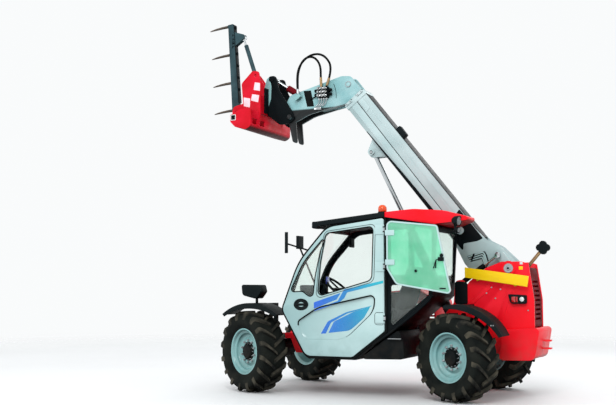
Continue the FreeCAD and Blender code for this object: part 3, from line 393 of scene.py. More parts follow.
def pipe(path, radius, sides=12, loop=False):
    """Round pipe along points; radius is one number or one for each point."""
    radii = radius if isinstance(radius, list) else [radius] * len(path)
    rings, across = [], None
    for i, point in enumerate(path):
        ahead = path[(i + 1) % len(path)] if loop or i + 1 < len(path) else point
        behind = path[i - 1] if loop or i else point
        along = (ahead - behind).normalized()
        if across is None:
            across = along.orthogonal().normalized()
        across = (across - along * across.dot(along)).normalized()
        up = along.cross(across)
        rings.append([point + (across * math.cos(a) + up * math.sin(a)) * (radii[i] / 1000)
                      for a in (2 * math.pi * k / sides for k in range(sides))])
    return skin(rings, loop=loop)


def turned(profile, centre=(0, 0, 0), axis=(0, 1, 0), steps=64):
    """Turned solid from (radius, along) corners about an axis through the centre."""
    axis = Vector(axis).normalized()
    across = axis.orthogonal().normalized()
    up = axis.cross(across)
    rings = []
    for k in range(steps):
        a = 2 * math.pi * k / steps
        out = across * math.cos(a) + up * math.sin(a)
        rings.append([Vector(centre) + out * (max(r, TINY) / 1000) + axis * (along / 1000) for r, along in profile])
    return cleaned(skin(rings, loop=True), 0.00002)


def box(low, high, ease, segments, triangles=False):
    """Box between two corners, with eased edges, not moved into the frame."""
    work = bmesh.new()
    bmesh.ops.create_cube(work, size=1)
    for vert in work.verts:
        vert.co = [(a + (b - a) * (c + 0.5)) / 1000 for a, b, c in zip(low, high, vert.co)]
    bmesh.ops.bevel(work, geom=work.edges[:], offset=ease / 1000, segments=segments, affect="EDGES", profile=0.5)
    if triangles:
        bmesh.ops.triangulate(work, faces=work.faces[:])
    return emptied(work)


def block(low, high, ease=4, segments=2):
    """Box between two corners of the machine's own frame, with eased edges."""
    mesh = box(low, high, ease, segments)
    mesh.transform(Matrix.Translation((SHIFT, 0, 0)))
    return mesh


def dressed(node, finish_name, ease=3, cut=None):
    """A CAD node copied, merged and given eased edges, in place of the node. A cut is a point on a plane and the
    direction of what the plane takes off."""
    work = bmesh.new()
    work.from_mesh(frame["nodes"][node].data)
    bmesh.ops.remove_doubles(work, verts=work.verts, dist=0.00005)
    bmesh.ops.dissolve_limit(work, angle_limit=math.radians(0.5), verts=work.verts, edges=work.edges)
    if cut:
        bmesh.ops.bisect_plane(work, geom=work.verts[:] + work.edges[:] + work.faces[:], plane_co=at(*cut[0]),
                               plane_no=cut[1], clear_outer=True)
        bmesh.ops.holes_fill(work, edges=[e for e in work.edges if e.is_boundary])
        bmesh.ops.recalc_face_normals(work, faces=work.faces)
    piece = linked(node + "_copy", emptied(work))
    bevel = piece.modifiers.new("ease", "BEVEL")
    bevel.width, bevel.segments, bevel.limit_method = ease / 1000, 2, "ANGLE"
    bevel.angle_limit = math.radians(40)
    bevel.use_clamp_overlap = True
    return add(node + "_skin", baked(piece), BODY_OF[node], finish_name, 38, (node,))

# %% [markdown]
# The frames, plates and covers keep their CAD shapes. Real plates have eased edges that catch the light, so each
# gets a narrow bevel and the paint of its own part of the machine.

# %% Plates and covers
PAINTED = {
    "body_red": ("chassis_frame", "engine_hood", "counterweight", "roof_cover"),
    "dark_red": ("tail_shell", "tilt_barrel"), "grab_red": ("grab_frame",), "rail_yellow": ("guard_bar",),
    "frame_black": ("axle_front", "axle_rear", "side_box", "cab_frame", "carriage", "comp_barrel"),
    "plastic_black": ("fenders", "cab_roof", "dashboard", "mirrors", "lamps", "rear_lamp"), "steel": ("frame_pins",),
    "boom_grey": ("boom_outer", "boom_inner"), "head_grey": ("boom_head", "lift_barrel"),
    "arm_teal": ("grab_barrel",)}
GLAZED = {"engine_block": "engine_iron", "cab_glass": "glass", "door_glass": "glass", "window_glass": "green_glass"}
RODS = ("lift_rod", "comp_rod", "tilt_rod", "grab_rod")
ROD_EASE = 1.5
WHEELS = [f"{end}_{side}" for end in ("front", "rear") for side in ("left", "right")]

# The roof cover's far rear corner is cut back, which leaves the boom its room
ROOF_CUT = ((-1000, 80, 1900), (-0.86, -0.51, 0))
for finish_name, nodes in PAINTED.items():
    for node in nodes:
        dressed(node, finish_name, cut=ROOF_CUT if node == "roof_cover" else None)
for node in RODS:
    dressed(node, "chrome", ROD_EASE)
for wheel in WHEELS:
    dressed("knuckle_" + wheel, "frame_black")
for node, finish_name in GLAZED.items():
    mesh = frame["nodes"][node].data
    mesh.materials.clear()
    mesh.materials.append(FINISH[finish_name])
print("dressed", sum(map(len, PAINTED.values())) + len(RODS) + len(WHEELS), "nodes")

# %% [markdown]
# A wheel is a tyre with heavy lugs on a dished rim with a planetary hub. Its carcass and rim are turned from
# profiles. One pair of lugs is modelled from listed points, and Geometry Nodes set copies of it round the axle, as
# they do for the wheel nuts.

# %% Ring of copies in Geometry Nodes
def ring_tree():
    """Node tree that repeats its geometry round the Y axis, and the names of its count and its material."""
    tree = bpy.data.node_groups.new("ring_of_copies", "GeometryNodeTree")
    _, count, material, _ = [
        tree.interface.new_socket(name, in_out=way, socket_type="NodeSocket" + kind).identifier
        for name, way, kind in (("Geometry", "INPUT", "Geometry"), ("Count", "INPUT", "Int"),
                                ("Material", "INPUT", "Material"), ("Geometry", "OUTPUT", "Geometry"))]
    start, end, points, index, share, angle, turn, single, place, real, paint = map(tree.nodes.new, (
        "NodeGroupInput", "NodeGroupOutput", "GeometryNodeMeshLine", "GeometryNodeInputIndex", "ShaderNodeMath",
        "ShaderNodeMath", "ShaderNodeCombineXYZ", "GeometryNodeGeometryToInstance", "GeometryNodeInstanceOnPoints",
        "GeometryNodeRealizeInstances", "GeometryNodeSetMaterial"))
    points.inputs["Offset"].default_value = (0, 0, 0)
    share.operation, angle.operation = "DIVIDE", "MULTIPLY"
    share.inputs[0].default_value = 2 * math.pi
    for source, target in (
            (start.outputs["Count"], points.inputs["Count"]), (start.outputs["Count"], share.inputs[1]),
            (index.outputs[0], angle.inputs[0]), (share.outputs[0], angle.inputs[1]),
            (angle.outputs[0], turn.inputs["Y"]), (start.outputs["Geometry"], single.inputs[0]),
            (points.outputs[0], place.inputs["Points"]), (single.outputs[0], place.inputs["Instance"]),
            (turn.outputs[0], place.inputs["Rotation"]), (place.outputs[0], real.inputs[0]),
            (real.outputs[0], paint.inputs["Geometry"]), (start.outputs["Material"], paint.inputs["Material"]),
            (paint.outputs[0], end.inputs[0])):
        tree.links.new(source, target)
    return tree, count, material


RING_TREE, RING_COUNT, RING_MATERIAL = ring_tree()


def ringed(meshes, count, finish_name):
    """Meshes about the Y axis repeated round it."""
    piece = linked("ring", joined(meshes))
    modifier = piece.modifiers.new("ring", "NODES")
    modifier.node_group = RING_TREE
    modifier[RING_COUNT], modifier[RING_MATERIAL] = count, FINISH[finish_name]
    return baked(piece)


# %% Wheel meshes, drawn about the Y axis with the outer face towards +Y
TYRE_R = 440
LUGS = 16
LUG_ARC_R = 420
CARCASS = [(232, 112), (231, 112), (246, 121), (262, 134), (300, 152), (335, 159), (368, 158), (392, 151),
           (404, 140), (409, 110), (411, 0)]
LUG_RUN = [
    # degrees round, distance from the middle plane, top radius, foot radius, half width
    (-1.0, -8, TYRE_R, 400, 15), (2.0, 20, TYRE_R, 400, 16), (5.5, 55, TYRE_R, 400, 17),
    (9.0, 92, TYRE_R, 398, 19), (12.0, 125, 438, 392, 21), (14.2, 146, 432, 380, 22),
    (15.6, 157, 418, 366, 22), (16.3, 160, 396, 352, 21), (16.6, 159, 372, 345, 19)]
RIM_PROFILE = [
    # radius and distance of the rim's face, from the outer flange through the disc and back round the barrel
    (249.5, 128), (249.5, 122), (243, 118), (229, 110), (228.5, -110), (249.5, -122), (249.5, -128), (238, -128),
    (219, -108), (217, -20), (216, 40), (155, 34), (130, 48), (84, 48), (84, 62), (128, 64), (146, 52), (158, 47),
    (176, 52), (190, 61), (197, 74), (199, 90), (210, 97), (221, 104), (227, 116), (236, 126)]
HUB_PROFILE = [(0, 104), (30, 104), (36, 101), (60, 99), (72, 94), (78, 84), (80, 66), (98, 66), (104, 63),
               (104, 50), (80, 48), (80, 21), (0, 21)]
WHEEL_NUTS, NUT_RING, NUT_SIZE = 10, 119, 12
HUB_BOLTS, BOLT_RING, BOLT_SIZE = 12, 91, 6


def lug_mesh(side, phase):
    """One lug of a row, which widens as it runs over the shoulder."""
    rings = []
    for degrees, across, top, foot, half in LUG_RUN:
        ring = []
        for radius, reach in ((foot, -half * 1.35), (top - 5, -half), (top, -half * 0.8), (top, half * 0.8),
                              (top - 5, half), (foot, half * 1.35)):
            a = math.radians(degrees + phase) + reach / LUG_ARC_R
            ring.append(Vector((radius * math.sin(a), side * across, radius * math.cos(a))) / 1000)
        rings.append(ring)
    return skin(rings)


def nut_meshes(radius, y0, y1, size):
    """Hexagonal nut and its stud, at a distance from the axle."""
    centre = (0, 0, radius / 1000)
    return [turned([(0, y0), (size * 1.25, y0), (size * 1.25, y0 + 3), (size, y0 + 3), (size, y1 - 2),
                    (size * 0.8, y1), (0, y1)], centre, steps=6),
            turned([(0, y1 - 1), (size * 0.5, y1 - 1), (size * 0.45, y1 + 8), (0, y1 + 8)], centre, steps=10)]


def wheel_place(name):
    """Matrix that sets a wheel drawn about Y at its axle, turned as it is steered."""
    joint = next(j for j in frame["joints"] if j["name"] == "spin_" + name)
    outward = Vector(joint["axis"]) * (1 if name.endswith("left") else -1)
    up = Vector((0, 0, 1))
    return Matrix.Translation(joint["pos_m"]) @ Matrix((outward.cross(up), outward, up)).transposed().to_4x4()


for name in WHEELS:
    carcass = turned(CARCASS + [(r, -y) for r, y in CARCASS[-2::-1]], steps=96)
    lugs = ringed([lug_mesh(1, 0), lug_mesh(-1, 180 / LUGS)], LUGS, "lug_wear")
    nuts = ringed(nut_meshes(NUT_RING, 63.5, 80, NUT_SIZE), WHEEL_NUTS, "steel")
    bolts = ringed(nut_meshes(BOLT_RING, 65, 74, BOLT_SIZE), HUB_BOLTS, "steel")
    for label, mesh, finish_name, smooth, nodes in (
            ("tyre_carcass", carcass, "tread", 42, ("tyre_" + name,)), ("tyre_lugs", lugs, "lug_wear", 42, ()),
            ("rim_dish", turned(RIM_PROFILE, steps=96), "rim_grey", 30, ("rim_" + name,)),
            ("rim_hub", turned(HUB_PROFILE, steps=48), "frame_black", 30, ()),
            ("wheel_nuts", nuts, "steel", 30, ()), ("hub_bolts", bolts, "steel", 30, ())):
        mesh.transform(wheel_place(name))
        add(f"{label}_{name}", mesh, "wheel_" + name, finish_name, smooth=smooth, replaces=nodes)
print("wheels with", LUGS, "lugs a row and", WHEEL_NUTS, "nuts")

# %% [markdown]
# The door is the machine's face. Its skin is one pressed sheet with two windows and a shallow pocket, edged with
# black rubber. Curves give the sheet its holes; the pocket is a bowl of rings that shrink towards its middle.

# %% Door
DOOR_IN, DOOR_OUT = 866, 900
SEAL_Y = DOOR_OUT - 1
DOOR_EDGE = [(-442, 1846, 25), (190, 1766, 220), (520, 1400, 750), (716, 900, 90), (440, 420, 100),
             (-88, 420, 60), (-442, 690, 40)]
WINDOW_EDGE = [(-330, 1765, 45), (205, 1704, 60), (268, 1400, 300), (304, 1040, 45), (-310, 1210, 70)]
QUARTER_EDGE = [(190, 1700, 60), (470, 1400, 600), (628, 1086, 30), (480, 1095, 60), (358, 1012, 40),
                (330, 1250, 0), (268, 1520, 300)]
POCKET_EDGE = [(540, 775, 50), (300, 925, 450), (-345, 1062, 45), (-330, 890, 200), (0, 590, 300), (470, 590, 120)]
POCKET_STEPS = [(1, 0), (0.985, 4), (0.955, 11), (0.93, 14), (0.5, 15), (0.02, 15)]   # share of the edge, and depth
HATCH_EDGE = [(-340, 755, 30), (-340, 880, 30), (-432, 880, 4), (-432, 755, 4)]
CREASE_COUNT = 4 * CORNER_STEPS + 8   # the pocket's shadow line ends on its lower edge, and thins out there
CREASE_R, CREASE_FADE = 7.5, 14


def shrunk(points, share):
    middle = sum(points, Vector((0, 0))) / len(points)
    return [middle + (p - middle) * share for p in points]


def seal(points, y, radius):
    """Round bead along a closed outline."""
    return pipe([at(p.x, y, p.y) for p in points], radius, 8, loop=True)


pocket = rounded(POCKET_EDGE)
sheet = panel([DOOR_EDGE, WINDOW_EDGE, QUARTER_EDGE, POCKET_EDGE], DOOR_IN, DOOR_OUT, 4)
back = panel([POCKET_EDGE], DOOR_IN + 2, DOOR_IN + 6, 1)
bowl = skin([[at(p.x, DOOR_OUT - 3.5 - depth, p.y) for p in shrunk(pocket, share)] for share, depth in POCKET_STEPS],
            caps=False)
add("door_skin", [sheet, back], "door", "door_silver", smooth=30, replaces=("door_panel",))
add("door_pocket", bowl, "door", "door_silver", smooth=60)
add("door_seals", [seal(rounded(edge), SEAL_Y, 6) for edge in (WINDOW_EDGE, QUARTER_EDGE)], "door", "rubber",
    smooth=60)
add("door_rim_seal", seal(shrunk(rounded(DOOR_EDGE), 0.992), DOOR_IN - 1, 6), "door", "rubber", smooth=60)
crease = [at(p.x, DOOR_OUT - 1.5, p.y) for p in pocket[:CREASE_COUNT]]
thinning = [CREASE_R * min(1, 0.15 + (len(crease) - k) / CREASE_FADE) for k in range(len(crease))]
add("pocket_line", pipe(crease, thinning, 8), "door", "rubber", smooth=60)
add("window_crease", seal(shrunk(rounded(WINDOW_EDGE), 1.07), SEAL_Y, 3.5), "door", "head_grey", 60)
add("hatch_line", seal(rounded(HATCH_EDGE), SEAL_Y, 3), "door", "head_grey", 60)

# %% [markdown]
# The flashes and the lens-shaped badge stay as plain colour. Each is a thin plate, about a millimetre proud, so its
# edge is crisp like cut film.

# %% Door flashes, badge, handle and hinges
BADGE = [(345, 978, 4), (36, 1079, 4), (82, 1010, 4), (345, 912, 4)]
BAND = [(345, 896, 0), (71, 995, 10), (0, 1114, 20), (-159, 1147, 0), (-437, 1206, 0), (-437, 1178, 0),
        (-173, 1114, 20), (-36, 1083, 20), (-4, 1023, 20), (62, 974, 20), (345, 886, 0)]
LENS = [(186, 661, 4), (122, 780, 30), (-100, 884, 250), (-287, 938, 4), (-215, 820, 120), (-60, 690, 150)]
LENS_BAND = [(272, 652, 0), (191, 782, 50), (-20, 880, 200), (-305, 950, 0), (-292, 940, 0), (-30, 866, 200),
             (156, 768, 50), (214, 655, 0)]
POCKET_FLOOR = DOOR_OUT - 18.5
HANDLE_RING = [(0, -2), (83, -2), (86, 2), (83, 6), (74, 6), (68, 1), (0, -1)]
HINGES = (1728, 1348, 822)

add("door_flash", [panel([shape], SEAL_Y, DOOR_OUT + 0.8, 0.2) for shape in (BADGE, BAND)], "door", "flash_blue")
add("door_badge", [panel([shape], POCKET_FLOOR - 1, POCKET_FLOOR + 1.2, 0.3) for shape in (LENS, LENS_BAND)],
    "door", "flash_blue")
handle = turned(HANDLE_RING, steps=48)
handle.transform(Matrix.Translation(at(494, DOOR_OUT, 955)) @ Matrix.Diagonal((1, 1, 0.72, 1)))
grip = block((436, DOOR_OUT - 4, 942), (552, DOOR_OUT + 10, 968), 8, 3)
add("door_handle", [handle, grip], "door", "plastic_black", smooth=40)
for number, z in enumerate(HINGES):
    add(f"hinge_cover_{number}", block((-452, 898, z - 52), (-352, 909, z + 52)), "door", "door_silver")
    add(f"hinge_knuckle_{number}", pipe([at(-456, 914, z - 30), at(-456, 914, z + 30)], 10.5, 16), "chassis", "steel")

# %% [markdown]
# The door closes against a black rubber surround on the cab, and this dark edge is what draws its shape from far
# away. An outline pushed sideways along its own run gives the surround the same width all the way round.

# %% Door surround, step and lower rail
def pushed(points, distance):
    """Corners of a closed outline moved by a distance to the left of its run."""
    moved = []
    for i, point in enumerate(points):
        along = (points[(i + 1) % len(points)] - points[i - 1]).normalized()
        moved.append((point.x - along.y * distance, point.y + along.x * distance, 0))
    return moved


edge = rounded(DOOR_EDGE)
add("door_surround", panel([pushed(edge, 24), pushed(edge, 7)], 852, 884, 4), "chassis", "rubber", smooth=50)
RAIL = ((-300, 548), (-470, 661), (-760, 878), (-905, 1005), (-945, 1060))
add("lower_rail", pipe([at(x, 866, z) for x, z in RAIL], 17), "chassis", "frame_black", smooth=60)
treads = [block((x, 853, 616), (x + 8, 876, 620), 1) for x in range(-604, -476, 16)]
add("step_grip", [block((-612, 851, 612), (-470, 878, 617), 1)] + treads, "chassis", "steel")

# %% [markdown]
# Work lamps look forward from the roof's front edge and back from its rear corner. A lamp is a turned bowl with a
# lens set inside its lip, and both lamps at the back use the same two profiles at their own size.

# %% Work lamps and beacon
def bowl_profile(radius, depth):
    return [(0, -depth), (radius * 0.45, -depth), (radius * 0.8, -depth * 0.7), (radius * 0.97, -depth * 0.2),
            (radius, 0), (radius * 0.9, 2), (radius * 0.86, -4), (0, -6)]


def lens_profile(radius):
    return [(0, -5), (radius * 0.85, -4), (radius * 0.75, 1), (radius * 0.4, 4), (0, 5)]


FRONT_LAMPS = (620, 280)
REAR_LAMPS = ((at(-1250, 925, 1790), 52, 75), (at(-1245, 925, 1700), 30, 50))
REAR_FACING = (-1, 0.25, -0.15)
BEACON = at(-395, 800, 1893)
UPWARDS = (0, 0, 1)
DOME = [(0, 98), (18, 96), (33, 88), (43, 72), (46, 52), (44, 32), (42, 24), (0, 24)]

bowls = []
for y in FRONT_LAMPS:
    bowls += [block((245, y - 75, 1822), (372, y + 75, 1838)), block((352, y - 20, 1790), (376, y + 20, 1836)),
              block((376, y - 70, 1772), (470, y + 70, 1848), 16, 3)]
bowls += [turned(bowl_profile(radius, depth), centre, REAR_FACING, 40) for centre, radius, depth in REAR_LAMPS]
bowls += [block((-1215, 890, 1690), (-1195, 925, 1830), 3), block((-1240, 860, 1812), (-1190, 900, 1822), 3)]
add("work_lamps", bowls, "chassis", "plastic_black", smooth=40)
add("work_lamp_lenses", [block((466, y - 60, 1782), (474, y + 60, 1838), 3) for y in FRONT_LAMPS],
    "chassis", "clear_lens", smooth=40)
add("rear_lamp_lenses", [turned(lens_profile(radius), centre, REAR_FACING, 40) for centre, radius, _ in REAR_LAMPS],
    "chassis", "smoked_lens", smooth=40)
add("beacon_dome", turned(DOME, BEACON, UPWARDS, 48), "chassis", "orange_lens", smooth=60, replaces=("beacon",))
add("beacon_foot", turned([(0, 26), (46, 26), (47, 14), (44, 4), (0, 4)], BEACON, UPWARDS, 48),
    "chassis", "plastic_black", smooth=40)

# %% [markdown]
# Round the glass sit the small things that say somebody drives this machine: the pane's grey frame, its latch with
# two spring arms, a knob, the inner mirror, the tail lamps' lenses and the screen on the dashboard.

# %% Latch, mirror, lenses and screen
PANE_EDGE = [(-504, 1800, 40), (-1015, 1742, 20), (-1150, 1085, 20), (-600, 1178, 60), (-504, 1330, 60)]
PANE_Y = 928
KNOB = [(0, 30), (16, 28), (20, 16), (16, 10), (0, 10)]
SMALL_KNOB = [(0, 26), (13, 24), (14, 12), (0, 11)]

outer = rounded(PANE_EDGE)
add("pane_frame", panel([pushed(outer, 0), pushed(outer, -16)], PANE_Y - 1, PANE_Y + 14.5, 1),
    "chassis", "door_silver", 40)
add("pane_straps", [block((-575, PANE_Y + 10, z - 28), (-475, PANE_Y + 20, z + 28), 3) for z in (1690, 1390)],
    "chassis", "door_silver", 40)
latch = [pipe([at(-1052, PANE_Y + 26, 1420), at(-1018, PANE_Y + 30, 1408), at(-990 - d, PANE_Y + 28, 1325)], 5, 8)
         for d in (0, 22)]
latch += [block((-1095, PANE_Y + 10, 1395), (-1035, PANE_Y + 34, 1435), 6, 3),
          turned(KNOB, at(-1070, PANE_Y, 1452), steps=24), turned(SMALL_KNOB, at(-800, PANE_Y, 1300), steps=24),
          block((-1110, PANE_Y + 11, 1118), (-1045, PANE_Y + 20, 1130), 3)]
add("pane_latch", latch, "chassis", "plastic_black", smooth=40)
add("screen_body", block((318, 556, 1165), (331, 652, 1258)), "chassis", "plastic_black")
add("screen_face", block((314.5, 562, 1172), (318.5, 646, 1251), 1), "chassis", "screen")
add("inner_mirror", [block((150, 235, 1575), (168, 365, 1680), 8, 3),
                     pipe([at(160, 300, 1675), at(190, 300, 1760)], 6, 8)], "chassis", "plastic_black")
tail_glass, tail_red = [], []
for hand in (1, -1):
    centre = at(-1705, hand * 260.5, 1014)
    tail_glass.append(turned([(0, 8), (14, 7), (23, 3), (24, 0), (0, 0)], centre, (0, hand, 0), 32))
    low, high = sorted((hand * 259.5, hand * 266))
    tail_red += [block((x0, low, 984), (x1, high, 1040), 2) for x0, x1 in ((-1662, -1646), (-1640, -1600))]
add("tail_lenses", tail_glass, "chassis", "clear_lens", smooth=40)
add("tail_reds", tail_red, "chassis", "red_lens", smooth=40)

# %% [markdown]
# The tower's side plates have pressed ribs and a few screws, and the boom's pin ends in a round cap. A rib is a
# long bar with soft edges, laid flat on the plate.

# %% Tower ribs, caps and screws
PLATE_Y, PIN_Y = 220.5, 232.5
SCREWS = ((-1477, 1115), (-1423, 1022), (-1330, 1076), (-1384, 1135), (-1250, 760), (-1760, 900))
SCREW_HEAD = [(0, 8), (7, 8), (9, 6), (9, 0), (0, 0)]
PIN_CAP = [(0, 16), (20, 16), (24, 12), (24, 6), (46, 6), (50, 2), (50, 0), (0, 0)]
PIN_EYE = [(0, 18), (12, 18), (13, 15), (0, 15.5)]
PIVOT_X, PIVOT_Z = -1565, 1333


def rib(start, end, width, hand):
    """Bar laid on the outer face of a side plate."""
    (x0, z0), (x1, z1) = start, end
    across = Vector((z1 - z0, x0 - x1)).normalized() * width / 2
    low, high = sorted((hand * (PLATE_Y - 1), hand * (PLATE_Y + 6)))
    return panel([[(x0 + across.x, z0 + across.y, 0), (x1 + across.x, z1 + across.y, 0),
                   (x1 - across.x, z1 - across.y, 0), (x0 - across.x, z0 - across.y, 0)]], low, high, 3)


ribs, caps, eyes = [], [], []
for hand in (1, -1):
    facing, pin = (0, hand, 0), at(PIVOT_X, hand * PIN_Y, PIVOT_Z)
    ribs += [rib((-1368, 1150), (-1149, 955), 50, hand), rib((-1580, 1120), (-1468, 806), 55, hand)]
    caps += [turned(SCREW_HEAD, at(x, hand * PLATE_Y, z), facing, 6) for x, z in SCREWS]
    caps.append(turned(PIN_CAP, pin, facing, 40))
    eyes.append(turned(PIN_EYE, pin, facing, 24))
add("tower_ribs", ribs, "chassis", "body_red")
add("pivot_eyes", eyes, "chassis", "frame_black")
# A black plate on the tower's side stands where the tower lies in shade beside the cab: a painted shade.
add("tower_shade_plate", panel([[(-990, 1205, 30), (-1128, 1188, 30), (-1128, 960, 20), (-990, 960, 20)]],
                         PLATE_Y, PLATE_Y + 8, 3), "chassis", "frame_black")
add("tower_caps", caps, "chassis", "steel", smooth=30)
for label, low, high, x, finish_name in (("white", 1372, 1398, -1682, "clear_lens"),
                                         ("yellow", 1318, 1352, -1672, "rail_yellow")):
    add("reflector_" + label, block((-1712, PLATE_Y, low), (x, PLATE_Y + 1, high), 0.3), "chassis", finish_name)

# %% [markdown]
# A mudguard is more than its arch: its outer edge turns down beside the tyre as a crescent, wide in the middle and
# narrow at both ends, and two screws hold it near its rear end.

# %% Mudguard skirts
SKIRT_IN, SKIRT_OUT = 868, 882
SKIRT_TOP, SKIRT_FOOT, SKIRT_DROP = 525.5, 490, 26   # radii about the axle, and how much lower its middle reaches
SKIRTS = ((1130, 50, 130), (-1170, 78, 155))   # axle, and the angles from straight ahead where each arch ends
SKIRT_STEPS = 24


def crescent(x, start, stop):
    """Corners of a crescent about an axle."""
    top, under = [], []
    for k in range(SKIRT_STEPS + 1):
        t = k / SKIRT_STEPS
        a = math.radians(start + (stop - start) * t)
        low = SKIRT_FOOT - SKIRT_DROP * math.sin(math.pi * t)
        for points, radius in ((top, SKIRT_TOP), (under, low)):
            points.append((x + radius * math.cos(a), TYRE_R + radius * math.sin(a), 0))
    return top + under[::-1]


skirts, screws = [], []
for hand in (1, -1):
    skirts += [panel([crescent(*run)], *sorted((hand * SKIRT_IN, hand * SKIRT_OUT)), 3) for run in SKIRTS]
    screws += [turned([(0, 5), (6, 4), (7, 0), (0, 0)], at(x, hand * SKIRT_OUT, 766), (0, hand, 0), 16)
               for x in (-1541, -1563)]
add("fender_skirts", skirts, "chassis", "plastic_black", smooth=40)
add("fender_screws", screws, "chassis", "steel")

# %% [markdown]
# The boom is folded from plate, and its welds, folds and wear pads break up its long sides. Their places are given
# along the boom and above its pivot, and one function turns them into the machine's frame. Black plates along the
# boom's foot, along its top face, over its root and behind the root pipes are painted shade.

# %% Boom folds, pads, lamp and pipes
BOOM_TURN = math.radians(51.5)
BOOM_LEFT, BOOM_RIGHT = 45, -185
EYE_LEFT, EYE_RIGHT = 29, -169
LOWER_SIDE = [(960, -203, 4), (2630, -180, 4), (2630, -262, 4), (990, -270, 4)]
NAME_PLATE = [(2630, -96, 6), (2442, -100, 6), (2424, -160, 6), (2625, -160, 6)]
# A dark wedge along the boom's lower edge is a painted shade.
FOOT_SHADE = [(930, -262, 0), (1600, -276, 300), (2250, -300, 0), (2250, -307, 0), (950, -307, 0)]
# A dark patch over the boom's root is the painted shadow of the cab roof.
ROOT_SHADOW = [(480, -296, 10), (541, -241, 20), (466, -108, 20), (448, -40, 10), (860, -40, 10), (790, -300, 10)]
SEAM = [(950, -194, 0), (2645, -170, 0), (2645, -177, 0), (950, -201, 0)]
PIPE_SHADE = [(412, -298, 5), (350, -160, 5), (330, -112, 10), (280, -120, 10), (200, -155, 5), (180, -216, 5),
              (262, -200, 0), (288, -192, 0), (336, -305, 5)]
COLLAR_LINES = ((2606, 2614), (2646, 2658))
PADS = ((-45, -135), (-215, -305))
PAD_EYE = (2035, -416)
EYE_RING, EYE_CAP = [(20, 3), (22, 7), (32, 7), (34, 0), (18, 0)], [(0, 10), (15, 10), (18, 6), (18, 0), (0, 0)]
PAD_BOLT = [(0, 7), (8, 7), (9, 5), (9, 0), (0, 0)]
PIPE_Y, PIPE_R = 57, 8
ROOT_RUNS = (((395, -295), (343, -169), (330, -130), (283, -140), (217, -170)),
             ((373, -297), (325, -184), (314, -150), (275, -160), (205, -190)),
             ((351, -299), (306, -199), (297, -172), (266, -182), (193, -210)))


def on_boom(u, n):
    """Machine (x, z) of a place along the boom and above its pivot."""
    return (PIVOT_X + u * math.cos(BOOM_TURN) - n * math.sin(BOOM_TURN),
            PIVOT_Z + u * math.sin(BOOM_TURN) + n * math.cos(BOOM_TURN))


def boom_point(u, y, n):
    x, z = on_boom(u, n)
    return at(x, y, z)


def boom_plate(places, y0, y1, ease=1):
    """Plate across Y from (along, above, radius) corners on the boom."""
    return panel([[(*on_boom(u, n), radius) for u, n, radius in places]], y0, y1, ease)


def oblong(u0, u1, high, low, radius=0):
    """Corners of a plate that is square to the boom."""
    return [(u0, high, radius), (u1, high, radius), (u1, low, radius), (u0, low, radius)]


def nurbs(points, radius, rounds, steps):
    """Round curve with capped ends that bends smoothly near the given points."""
    curve = bpy.data.curves.new("nurbs", "CURVE")
    curve.dimensions, curve.use_fill_caps = "3D", True
    curve.bevel_depth, curve.bevel_resolution = radius / 1000, rounds
    spline = curve.splines.new("NURBS")
    spline.points.add(len(points) - 1)
    for point, place in zip(spline.points, points):
        point.co = (*place, 1)
    spline.order_u, spline.use_endpoint_u, spline.resolution_u = 3, True, steps
    return curve


def bent_pipe(points, radius):
    return cleaned(baked(linked("bent_pipe", nurbs(points, radius, 3, 8))))


sides, strips, seams, pads, pad_bolts = [], [], [], [], []
for face, eye, hand in ((BOOM_LEFT, EYE_LEFT, 1), (BOOM_RIGHT, EYE_RIGHT, -1)):
    def off(near, far):
        return sorted((face + hand * near, face + hand * far))
    facing = (0, hand, 0)
    sides += [boom_plate(LOWER_SIDE, *off(0, 3.5)), boom_plate(NAME_PLATE, *off(0, 4.5), 1.5),
              boom_plate(oblong(800, 2400, -104, -109), *off(0, 1.5), 0.4)]
    strips += [boom_plate(FOOT_SHADE, *off(0, 4.5)), boom_plate(ROOT_SHADOW, *off(0, 3))]
    strips += [boom_plate(oblong(u0, u1, -40, -306), *off(0, 5)) for u0, u1 in COLLAR_LINES]
    seams.append(boom_plate(SEAM, *off(0, 1.2), 0.3))
    pads.append(turned(EYE_RING, boom_point(PAD_EYE[0], eye, PAD_EYE[1]), facing, 40))
    pad_bolts.append(turned(EYE_CAP, boom_point(PAD_EYE[0], eye, PAD_EYE[1]), facing, 32))
    for high, low in PADS:
        seams.append(boom_plate(oblong(2634, 2676, high + 6, low - 6, 4), *off(0, 6)))
        pads.append(boom_plate(oblong(2640, 2671, high, low, 4), *off(4, 17), 2))
        pad_bolts += [turned(PAD_BOLT, boom_point(2655.5, face + hand * 16.5, n), facing, 6)
                      for n in (high - 18, low + 18)]
# A thin black plate along the boom's top face is a painted shade.
strips += [boom_plate(oblong(460, 2610, -30.5, -35.5), BOOM_RIGHT + 1, BOOM_LEFT - 1),
           boom_plate(PIPE_SHADE, BOOM_LEFT, BOOM_LEFT + 3)]
add("boom_lower_sides", sides, "boom", "boom_grey")
add("boom_dark_strips", strips, "boom", "frame_black")
add("boom_seams", seams, "boom", "frame_black")
add("boom_pads", pads, "boom", "boom_grey")
add("boom_pad_bolts", pad_bolts, "boom", "steel")
add("boom_lamp", boom_plate([(1900, -37, 0), (1905, 26, 12), (2040, 30, 12), (2045, -37, 0)], -45, 35, 6),
    "boom", "plastic_black")
add("boom_lamp_lens", boom_plate(oblong(2040, 2046, 20, -26), -36, 26), "boom", "clear_lens")
add("root_pipes", [bent_pipe([boom_point(u, PIPE_Y, n) for u, n in run], PIPE_R) for run in ROOT_RUNS],
    "boom", "door_silver", 60)
add("pipe_clamps", boom_plate([(372, -212, 4), (386, -220, 4), (352, -290, 4), (332, -282, 4)],
                              BOOM_LEFT, BOOM_LEFT + 24, 3), "boom", "frame_black")

# %% [markdown]
# The boom's head is busy: a dark wrapped band, a welded seam, a round boss, and a valve block crowded with quick
# couplings where the hoses end. A short black line runs down from the nose beside them.

